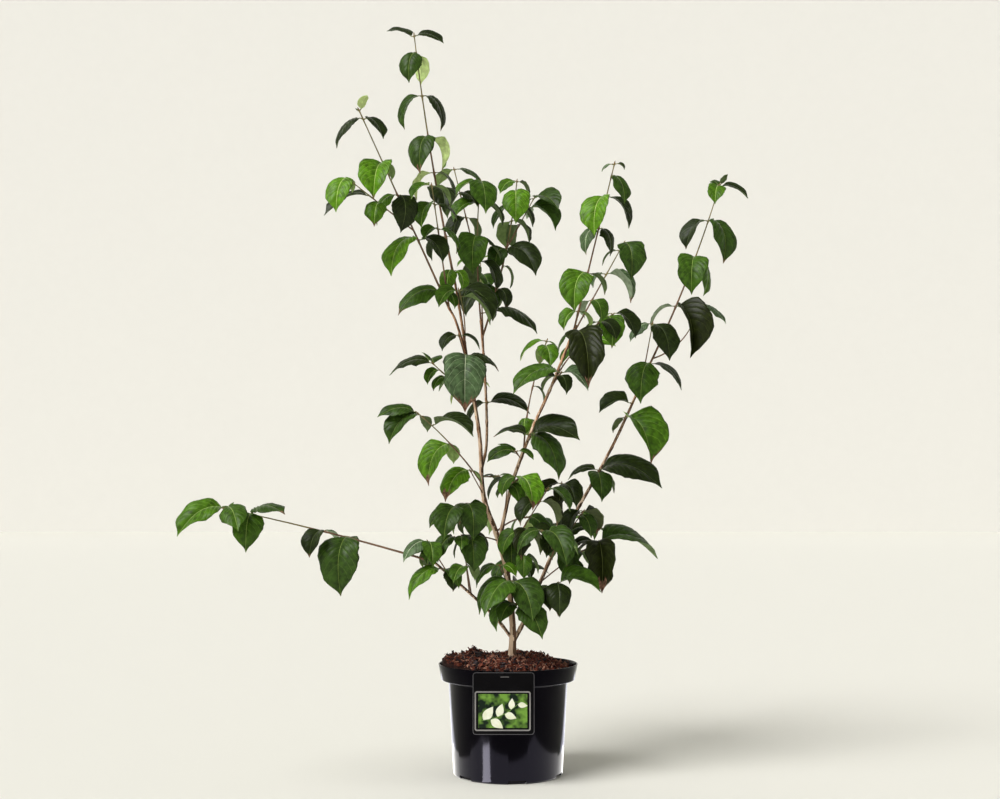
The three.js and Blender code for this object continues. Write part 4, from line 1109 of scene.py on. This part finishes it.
def ringSlab(edges, corner, line, kind):
    # a printed line along the edge of a rounded rectangle
    outer, hole = cardShape(edges, corner), cardShape(edges, corner, line)
    n = len(outer)
    points = [(x, y, z) for y in (face - label["lineRise"], face + label["ink"]) for x, z in outer + hole]
    faces = []
    for i in range(n):
        j = (i + 1) % n
        faces += quad(i, j, n + j, n + i) + quad(2 * n + j, 2 * n + i, 3 * n + i, 3 * n + j) \
            + quad(j, i, 2 * n + i, 2 * n + j) + quad(n + i, n + j, 3 * n + j, 3 * n + i)
    cardBatch.add(points, faces, kind)


def sprigPoint(t):
    return bezier(*(Vector((x0 + x, z0 + z)) for x, z in sprig["ends"]), t)


card = onCard(0, label["width"], 0, label["height"])
slab(cardShape(card, label["corner"]), face, front, black)
ringSlab(card, label["corner"], label["border"], cutEdge)
ringSlab(onCard(*label["frame"]), label["frameCorner"], label["frameLine"], greyLine)
slab(cardShape(onCard(*label["picture"]), label["pictureCorner"]), face - label["ink"], face + label["ink"],
    greenPrint)
slotLeft, slotTop = tongue["x"] - slot["width"] / 2, cardTop - slot["drop"]
slab(cardShape((slotLeft, slotLeft + slot["width"], slotTop - slot["line"], slotTop), slot["line"] / 2),
    face - label["ink"], face + label["ink"], greyLine)
for k in range(sprig["leaves"]):
    t = (k + sprig["first"]) / sprig["leaves"]
    place, along = sprigPoint(t), sprigPoint(t + 0.02) - sprigPoint(t - 0.02)
    way = math.atan2(along.y, along.x) + math.radians(sprig["open"]) * (-1 if k % 2 else 1)
    size, outline = 1 - sprig["shrink"] * k, []
    for side in (-1, 1):
        for i in range(sprig["steps"]):
            share = i / sprig["steps"] if side < 0 else 1 - i / sprig["steps"]
            u = sprig["length"] * size * share
            v = side * sprig["width"] * size * math.sin(math.pi * share ** sprig["full"])
            outline.append((place.x + u * math.cos(way) - v * math.sin(way),
                place.y + u * math.sin(way) + v * math.cos(way)))
    slab(outline, face - sprig["rise"] - sprig["overlap"] * k, face, creamPrint)
stalk, half = [sprigPoint(i / sprig["steps"]) for i in range(sprig["steps"] + 1)], sprig["stem"] / 2
for a, b in zip(stalk, stalk[1:]):
    slab([(a.x, a.y - half), (b.x, b.y - half), (b.x, b.y + half), (a.x, a.y + half)],
        face - sprig["stemRise"], face, leafPrint)
# the tongue rises from the card, lies over the rim and hooks down inside it
hookTop = pot["height"] + compost["clearance"] + tongue["top"]
inside = -pot["rimRadius"] + wall + tongue["setback"]
left, right = tongue["x"] - tongue["width"] / 2, tongue["x"] + tongue["width"] / 2
for low, high, y0, y1 in ((cardTop - tongue["root"], hookTop, face, front),
        (hookTop - tongue["top"], hookTop, face, inside + tongue["wall"]),
        (hookTop - tongue["reach"], hookTop, inside, inside + tongue["wall"])):
    slab([(left, low), (right, low), (right, high), (left, high)], y0, y1, black)
cardBatch.piece("hang_card", labelMaterials, smooth=False, slot="label", replaced=["hang_label"])
print("label made")

# Floor, light and camera

# matt painted studio, in metres: a floor and a far wall. The floor darkens a little on its way back from 30 m
# to the wall at 120 m, as the corner throws more light on it
studio = dict(half=1200, front=-800, back=120, height=200, fade=(30, 120))
stageMaterials = [
    newMaterial("matt_floor_paint", ("#e5e4dd", "#dddcd4"), grain=900, roughness=1, specular=0,
        contrast=(0, 1), fade=studio["fade"]),
    newMaterial("matt_wall_paint", ("#e8e7e4", "#e9e8e5"), grain=900, roughness=1, specular=0),
]
corners = ((studio["front"], 0), (studio["back"], 0), (studio["back"], studio["height"]))
mesh = bpy.data.meshes.new("studio_floor")
mesh.from_pydata([(side * studio["half"], y, z) for y, z in corners for side in (-1, 1)], [],
    [(0, 1, 3, 2), (2, 3, 5, 4)])
for number, material in enumerate(stageMaterials):
    mesh.materials.append(material)
    mesh.polygons[number].material_index = number
floor = bpy.data.objects.new("studio_floor", mesh)
bpy.context.scene.collection.objects.link(floor)

# the room beyond the painted wall: as pale as the paint low down, dim overhead where the lamps take over
room = dict(colours=("#f1eee3", "#80807e"), heights=(0.3, 0.42))
world = bpy.data.worlds.new("studio")
bpy.context.scene.world = world
world.use_nodes = True
direction = addNode(world.node_tree, "ShaderNodeTexCoord")
upward = addNode(world.node_tree, "ShaderNodeSeparateXYZ", {}, {"Vector": direction.outputs["Generated"]})
fade = addNode(world.node_tree, "ShaderNodeValToRGB", {}, {"Fac": upward.outputs["Z"]})
for stop, height, colour in zip(fade.color_ramp.elements, room["heights"], room["colours"]):
    stop.position = height
    stop.color = linear(colour)
world.node_tree.links.new(fade.outputs["Color"], world.node_tree.nodes["Background"].inputs["Color"])

# the panels lie on the floor and only show in the gloss of the pot: light edges, a paler foot and a streak
lights = [
    dict(name="key_sun", place=(-1500, -1250, 2250), aim=(0, 0, 0), spread=34, power=2.9, colour="#fffefc"),
    dict(name="rear_left_panel", place=(-265, 540, 1), turn=20, size=(220, 860), power=1.2, colour="#e8eaff"),
    dict(name="rear_right_panel", place=(265, 540, 1), turn=-20, size=(220, 860), power=1.2,
        colour="#e8eaff"),
    dict(name="base_sheet", place=(0, 0, 1), turn=0, size=(400, 400), power=2.1, colour="#fffdfa"),
]
# the streak on the pot's front: short strips on the floor that widen away from it, all equally bright
streak = dict(foot=(-37, -88), turn=-46, reach=(2, 150), widths=(17, 48), strips=8, glow=56, colour="#fffff2")
way = math.radians(streak["turn"])
for k in range(streak["strips"]):
    near, between, far = (mix(*streak["reach"], (k + step) / streak["strips"]) for step in (0, 0.5, 1))
    width = mix(*streak["widths"], k / (streak["strips"] - 1))
    place = (streak["foot"][0] + between * math.sin(way), streak["foot"][1] - between * math.cos(way), 1)
    lights.append(dict(name=f"front_strip_{k}", place=place, turn=streak["turn"], size=(width, far - near),
        power=streak["glow"] * math.pi * width * (far - near) * mm * mm, colour=streak["colour"]))
for light in lights:
    isSun = "aim" in light
    data = bpy.data.lights.new(light["name"], "SUN" if isSun else "AREA")
    data.energy = light["power"]
    data.color = linear(light["colour"])[:3]
    lamp = bpy.data.objects.new(light["name"], data)
    lamp.location = Vector(light["place"]) * mm
    lamp.visible_camera = False
    if isSun:
        data.angle = math.radians(light["spread"])
        ray = Vector(light["aim"]) - Vector(light["place"])
        lamp.rotation_euler = ray.to_track_quat("-Z", "Y").to_euler()
    else:
        data.shape = "RECTANGLE"
        data.size, data.size_y = (side * mm for side in light["size"])
        lamp.visible_diffuse = False
        lamp.rotation_euler = (math.pi, 0, math.radians(light["turn"]))
    bpy.context.scene.collection.objects.link(lamp)

# a level camera 2 m away: the picture is 1000 px wide and its horizon lies 128.5 px below the middle
view = dict(focal=1170, width=1000, horizonDrop=128.5, distance=2020, height=423, side=-13.8, film=36,
    farthest=1000)
data = bpy.data.cameras.new("camera")
data.sensor_width = view["film"]
data.lens = view["focal"] / view["width"] * data.sensor_width
data.shift_y = view["horizonDrop"] / view["width"]
data.clip_end = view["farthest"]
camera = bpy.data.objects.new("camera", data)
camera.location = Vector((view["side"], -view["distance"], view["height"])) * mm
camera.rotation_euler = (math.radians(90), 0, 0)
bpy.context.scene.collection.objects.link(camera)
bpy.context.scene.camera = camera
bpy.context.scene.view_settings.view_transform = "Standard"
print("studio, lights and camera made")
